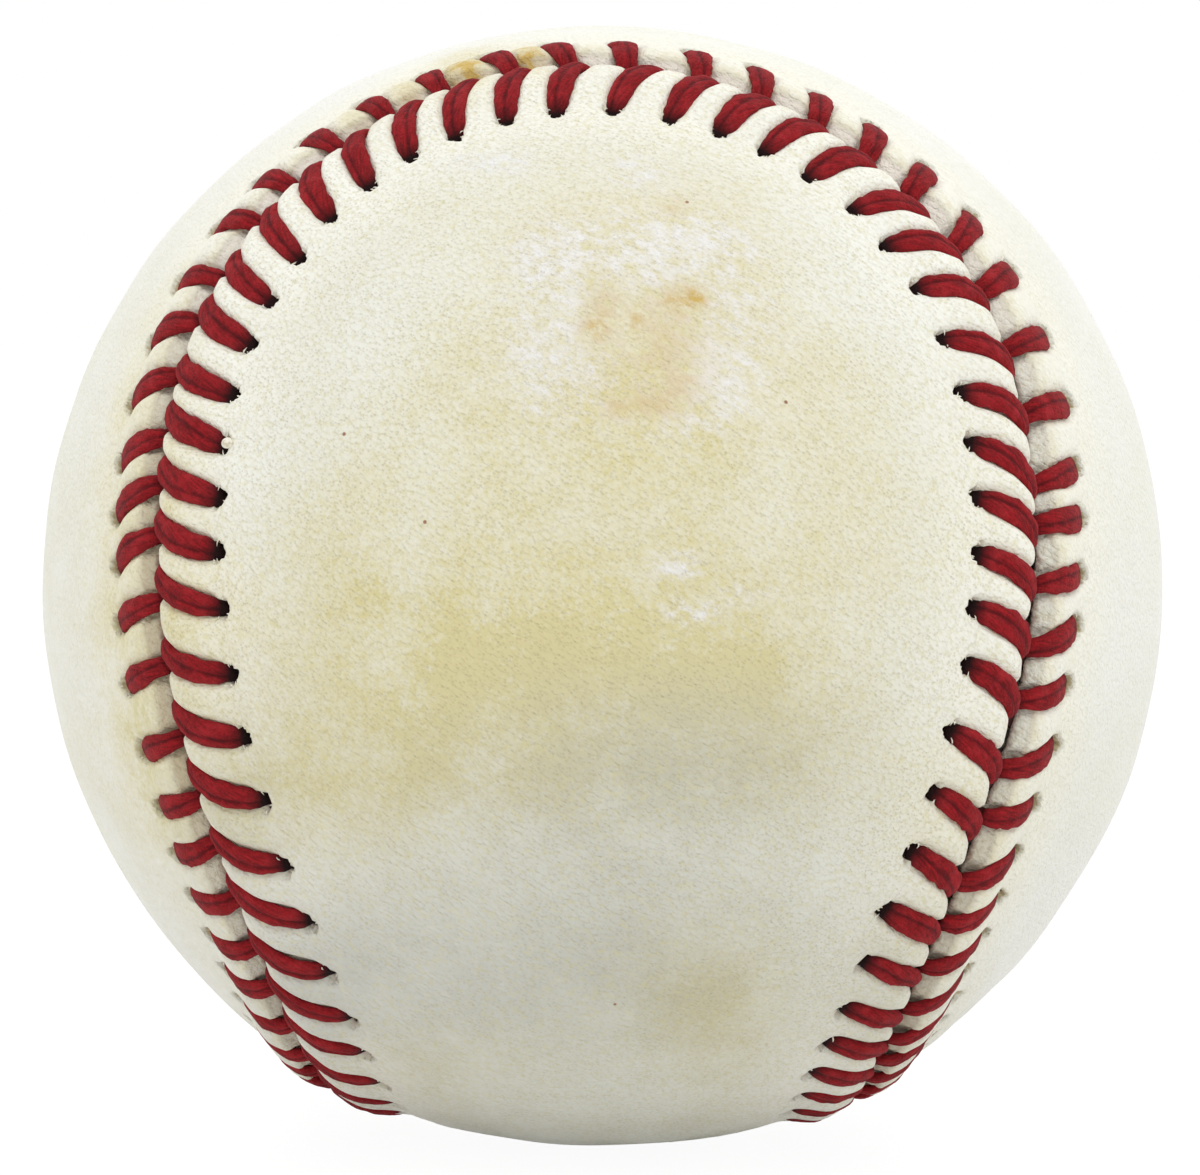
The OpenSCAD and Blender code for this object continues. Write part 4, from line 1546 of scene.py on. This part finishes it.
@dataclass(frozen=True)
class WaxedThread:
    """Waxed cotton thread, dyed crimson: matte, with fine fibres along its two strands."""

    crimson: str = "A4161E"
    deep: str = "6C0B12"
    worn: str = "B22A30"
    shade: str = "1C0305"
    # Dark painted shade in the groove between the two strands
    groove_shade: str = "3C070B"

    def make(self) -> bpy.types.Material:
        """Builds the material."""
        g = Graph("waxed_cotton_thread", Roughness=0.9, IOR=1.35, Sheen_Weight=0.02, Sheen_Roughness=0.5)
        strand = g.mark("strand", "Vector")
        fibre = g.noise(g.scaled(strand, (5.0, 5.0, 1.1)), 1.0, 4.0, 0.65)
        fuzz = g.noise(g.mm, 0.16, 3.0, 0.6)
        patch = g.noise(g.mm, 1.2, 3.0, 0.6)
        base = g.mix(g.spread(fibre, 0.3, 0.7), self.deep, self.crimson)
        base = g.mix(g.times(g.spread(patch, 0.45, 0.75), 0.6), base, self.worn)
        base = g.mix(g.times(g.spread(fuzz, 0.5, 0.75), 0.5), base, self.deep)
        base = g.mix(g.times(g.spread(fuzz, 0.5, 0.3), 0.3), base, self.worn)
        # Painted shade in the groove between the strands, in patches
        groove = g.frayed(g.mark("groove"), g.noise(g.mm, 0.5, 3.0), 1.4)
        base = g.mix(g.spread(groove, 0.1, 1.2, 0.0, 0.7), base, self.groove_shade)
        base = g.mix(g.mark("sunk"), base, self.shade)
        g.colour(base)
        g.bump(g.plus(g.times(fibre, 0.6), g.times(fuzz, 1.1)), 0.11)
        return g.material


@dataclass(frozen=True)
class SpunYarn:
    """Spun yarn on a ball: soft twisted plies, with loose fibres that take the light."""

    name: str
    light: str
    dark: str
    fibre_mm: float = 0.35
    tuft_mm: float = 2.5

    def make(self) -> bpy.types.Material:
        """Builds the material."""
        g = Graph(self.name, Roughness=0.9, IOR=1.5, Sheen_Weight=0.3, Sheen_Roughness=0.5)
        fibre = g.noise(g.mm, self.fibre_mm, 4.0, 0.7)
        base = g.mix(g.spread(fibre, 0.3, 0.7), self.dark, self.light)
        base = g.mix(g.spread(g.noise(g.mm, self.tuft_mm, 2.0), 0.45, 0.7, 0.0, 0.35), base, self.dark)
        g.colour(base)
        g.bump(fibre, 0.2)
        return g.material


@dataclass(frozen=True)
class MouldedRubber:
    """Rubber pressed in a mould: dull, finely pitted, with a bloom of chalk in patches."""

    name: str
    body: str
    bloom: str

    def make(self) -> bpy.types.Material:
        """Builds the material."""
        g = Graph(self.name, Roughness=0.6, IOR=1.52)
        chalk = g.noise(g.mm, 3.0, 4.0, 0.6)
        grit = g.noise(g.mm, 0.25, 3.0)
        g.colour(g.mix(g.spread(chalk, 0.5, 0.75, 0.0, 0.4), self.body, self.bloom))
        g.roughness(g.spread(chalk, 0.3, 0.7, 0.5, 0.75))
        g.bump(grit, 0.03)
        return g.material


@dataclass(frozen=True)
class CorkComposition:
    """Cork granules of 1 to 2 mm bound with rubber and pressed: speckled tan and brown."""

    granule_mm: float = 1.4
    pale: str = "B98F5E"
    brown: str = "7A5433"
    binder: str = "3A2A20"

    def make(self) -> bpy.types.Material:
        """Builds the material."""
        g = Graph("cork_composition_pressed", Roughness=0.85, IOR=1.45)
        each = g.cells(g.mm, self.granule_mm, output="Color")
        tone = add_node(g.tree, "SeparateColor", {0: each}).outputs[0]
        base = g.mix(tone, self.brown, self.pale)
        joint = g.spread(g.cells(g.mm, self.granule_mm, feature="DISTANCE_TO_EDGE"), 0.0, 0.09)
        g.colour(g.mix(joint, self.binder, base))
        g.bump(joint, 0.15)
        return g.material


@dataclass
class Winding:
    """A ball of yarn, as turns laid over each other along great circles.

    Each band of turns runs round a seeded pole. A point's height is that of the last band
    over it: the band's level and the round back of the yarn, sqrt(1 - x^2) across each turn.
    """

    name: str
    outer_r: float
    inner_r: float
    yarn_d: float
    lanes: int
    seed: int
    bands: int = 64
    facets: int = 92
    bare_depth: float = 2.0
    first_level: float = 1.5

    def ball(self, facets: int) -> tuple[Array, Array]:
        """A ball of six square grids, merged at their edges.

        Args:
            facets: Squares along a grid's side.

        Returns:
            Unit directions and triangles.
        """
        line = np.tan(np.linspace(-math.pi / 4, math.pi / 4, facets + 1))
        x, y = (v.ravel() for v in np.meshgrid(line, line, indexing="ij"))
        sheets = [np.roll(np.stack([x * end, y, np.full_like(x, end)], 1), axis, axis=1)
                  for axis in range(3) for end in (1, -1)]
        ways = unit(np.concatenate(sheets))
        _, first, number = np.unique(np.round(ways, 6), axis=0, return_index=True, return_inverse=True)
        grid = np.arange((facets + 1) ** 2).reshape(facets + 1, facets + 1)
        a, b, c, d = (part.ravel() for part in (grid[:-1, :-1], grid[1:, :-1], grid[1:, 1:], grid[:-1, 1:]))
        faces = np.concatenate([np.stack([a, b, c], 1), np.stack([a, c, d], 1)])
        every = np.concatenate([faces + k * len(x) for k in range(6)])
        return ways[first], number.ravel()[every]

    def build(self) -> bpy.types.Object:
        """Makes the winding as a closed hollow ball."""
        ways, faces = self.ball(self.facets)
        rng = np.random.default_rng(self.seed)
        poles = unit(rng.normal(size=(self.bands, 3)))
        high = np.full(len(ways), -self.bare_depth * self.yarn_d)
        half_band = self.lanes / 2
        for k, pole in enumerate(poles):
            lane = np.arcsin(np.clip(ways @ pole, -1, 1)) * self.outer_r / self.yarn_d
            back = np.sqrt(np.clip(1 - (2 * (lane % 1) - 1) ** 2, 0, 1)) * self.yarn_d / 2
            level = (k / self.bands - self.first_level) * self.yarn_d
            high = np.where(np.abs(lane) < half_band, np.maximum(high, level + back), high)
        skin = Skin()
        skin.add_points((self.outer_r + high)[:, None] * ways)
        skin.faces.append(faces)
        inside, inner_faces = self.ball(self.facets // 4)
        numbers = skin.add_points(self.inner_r * inside)
        skin.faces.append(numbers[inner_faces[:, ::-1]])
        return make_piece(self.name, skin)


@dataclass(frozen=True)
class Studio:
    """A pale seamless paper sweep under plain soft light.

    Rays from the camera see the paper and the sky as white, with the ball's soft shadow. The
    light on the ball comes from the sky, brighter overhead and behind, and one soft lamp.
    """

    ball_r: float
    sky_mean: float = 0.92
    sky_rise: float = 0.16
    sky_behind: float = 0.36
    key_value: float = 0.2
    key_place: tuple[float, float, float] = (0.2, -0.85, 1.1)
    key_side: float = 0.9
    paper: str = "E8E8E8"
    paper_tooth: str = "F0F0F0"
    paper_glow: float = 1.07
    shadow_share: float = 0.12
    floor_half_m: float = 3.0

    def build(self) -> None:
        """Adds the world, the lamp and the floor."""
        world = bpy.data.worlds.new("studio_sky")
        world.use_nodes = True
        bpy.context.scene.world = world
        tree = world.node_tree
        tree.nodes.clear()
        seen = self.seen(tree)
        way = add_node(tree, "TexCoord").outputs["Generated"]
        slope = add_node(tree, "VectorMath", {0: way, 1: (0.0, self.sky_behind, self.sky_rise)},
                         operation="DOT_PRODUCT").outputs["Value"]
        level = add_node(tree, "Math", {0: slope, 1: self.sky_mean}, operation="ADD").outputs[0]
        glow = add_node(tree, "Background", {"Color": (1, 1, 1, 1), "Strength": level})
        white = add_node(tree, "Background", {"Color": (1, 1, 1, 1), "Strength": 1.0})
        both = add_node(tree, "MixShader", {0: seen, 1: glow.outputs[0], 2: white.outputs[0]})
        add_node(tree, "OutputWorld", {"Surface": both.outputs[0]})
        self.add_lamp()
        self.add_floor()
        bpy.context.scene.view_settings.view_transform = "Standard"

    def seen(self, tree: bpy.types.NodeTree) -> Any:
        """One for rays from the camera, in mirrors and through glass, and zero for the rest."""
        path = add_node(tree, "LightPath").outputs
        either = add_node(tree, "Math", {0: path["Is Camera Ray"], 1: path["Is Glossy Ray"]},
                          operation="MAXIMUM").outputs[0]
        return add_node(tree, "Math", {0: either, 1: path["Is Transmission Ray"]},
                        operation="MAXIMUM").outputs[0]

    def add_lamp(self) -> None:
        """Adds the key lamp, whose power gives its share of brightness on a white surface."""
        place = Vector(self.key_place)
        data = bpy.data.lights.new("key_softbox", "AREA")
        data.size = self.key_side
        data.energy = self.key_value * math.pi**2 * place.length_squared
        lamp = bpy.data.objects.new("key_softbox", data)
        lamp.matrix_world = Matrix.Translation(place) @ place.to_track_quat("Z", "Y").to_matrix().to_4x4()
        bpy.context.scene.collection.objects.link(lamp)

    def add_floor(self) -> None:
        """Adds the floor that the ball rests on."""
        half = self.floor_half_m
        z = -self.ball_r * MM
        corners = [(-half, -half, z), (half, -half, z), (half, half, z), (-half, half, z)]
        mesh = bpy.data.meshes.new("paper_floor")
        mesh.from_pydata(corners, [], [(0, 1, 2, 3)])
        floor = bpy.data.objects.new("paper_floor", mesh)
        bpy.context.scene.collection.objects.link(floor)
        g = Graph("seamless_paper", Roughness=0.9, IOR=1.5)
        tooth = g.noise(g.mm, 0.8, 3.0)
        g.colour(g.mix(tooth, self.paper, self.paper_tooth))
        tree = g.tree
        white = add_node(tree, "Emission", {"Color": (1, 1, 1, 1), "Strength": self.paper_glow})
        share = g.times(self.seen(tree), 1 - self.shadow_share)
        both = add_node(tree, "MixShader", {0: share, 1: g.shader.outputs[0], 2: white.outputs[0]})
        output = next(n for n in tree.nodes if n.type == "OUTPUT_MATERIAL")
        tree.links.new(both.outputs[0], output.inputs["Surface"])
        mesh.materials.append(g.material)
        floor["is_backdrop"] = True


@dataclass
class Pill:
    """The rubber and cork pill at the ball's heart, whose moulded solids stay as they are."""

    finishes: dict[str, Any] = field(default_factory=lambda: {
        "cork_core": CorkComposition(),
        "half_shell_upper": MouldedRubber("black_rubber_moulded_upper", "1E1D1C", "4A4845"),
        "half_shell_lower": MouldedRubber("black_rubber_moulded_lower", "211F1E", "4E4B48"),
        "shell_washer": MouldedRubber("red_washer_rubber_cut", "8C2A22", "B06A5E"),
        "pill_cover": MouldedRubber("red_rubber_moulded", "9A2B24", "C07A70"),
    })

    def dress(self) -> None:
        """Gives each solid of the pill its material."""
        for node, finish in self.finishes.items():
            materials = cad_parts[node].data.materials
            materials.clear()
            materials.append(finish.make())
            log.info("%s: dressed as %s", node, materials[0].name)


@dataclass
class Heart:
    """The four windings round the pill, from thick grey wool to fine white cotton."""

    snug: float = 0.9
    first_seed: int = 31

    def build(self) -> None:
        """Makes and dresses the windings, each between the solids that it meets."""
        plan = (
            ("first_winding", "grey_wool_thick", 2.2, 5, "A8A59E", "6F6C66"),
            ("second_winding", "white_wool", 1.8, 5, "E6E1D2", "B8B1A0"),
            ("third_winding", "grey_wool", 1.8, 6, "ABA8A2", "74716C"),
            ("finish_winding", "cotton_yarn", 1.0, 9, "EFEDE6", "C9C5B8"),
        )
        inner_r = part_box("pill_cover")[1].z / MM
        for seed, (node, slot, yarn_d, lanes, light, dark) in enumerate(plan, self.first_seed):
            outer_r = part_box(node)[1].z / MM
            yarn_d = min(yarn_d, self.snug * (outer_r - inner_r))
            name = node.replace("winding", "yarn_winding")
            winding = Winding(name, outer_r, inner_r, yarn_d, lanes, seed)
            finish = SpunYarn(f"{slot}_spun", light, dark)
            place_piece(winding.build(), node, finish.make())
            inner_r = outer_r


def main() -> None:
    """Builds the ball's pieces in order, dresses them and sets the studio."""
    logging.basicConfig(level=logging.INFO, format="%(message)s")
    cad_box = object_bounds()
    ball_r = (cad_box[1].z - cad_box[0].z) / 2 / MM
    view = PhotoView(ball_r)
    view.make_camera()
    Studio(ball_r).build()
    seam = Seam(ball_r)
    log.info("seam %.1f mm, pitch %.2f mm", seam.length, seam.pitch)
    Pill().dress()
    Heart().build()
    sewing = Sewing(seam)
    panels = {
        Side.LOWER: CoverPanel(sewing, Side.LOWER, LOWER_REACH, recess=0.8, wall_slope=-0.12, lip_r=0.42),
        Side.UPPER: CoverPanel(sewing, Side.UPPER, UPPER_REACH, recess=0.25, wall_slope=0.85, lip_r=0.34),
    }
    tones = {
        Side.LOWER: ("handled", "F0F0E6", "ECEADB", "FBFAF0", "EEEADA", "E2D6C6", 1.0),
        Side.UPPER: ("clean", "F6F6F0", "F2F2E8", "F9F7E8", "E6DFC2", "CFBD93", 0.4),
    }
    for side, panel in panels.items():
        state, *rest = tones[side]
        hide = Cowhide(f"cowhide_alum_tawed_{state}", *rest, view).make()
        place_piece(panel.build(view), f"cover_panel_{side.name.lower()}", hide)
    place_piece(TornGrain(panels).build(), None, HideCrumb().make())
    thread = WaxedThread().make()
    for name, side, seed in (("left", Side.UPPER, 23), ("right", Side.LOWER, 29)):
        run = ThreadRun(sewing, panels, f"waxed_thread_{name}", side, seed=seed)
        place_piece(run.build(), f"thread_run_{name}", thread)


if __name__ == "__main__":
    main()
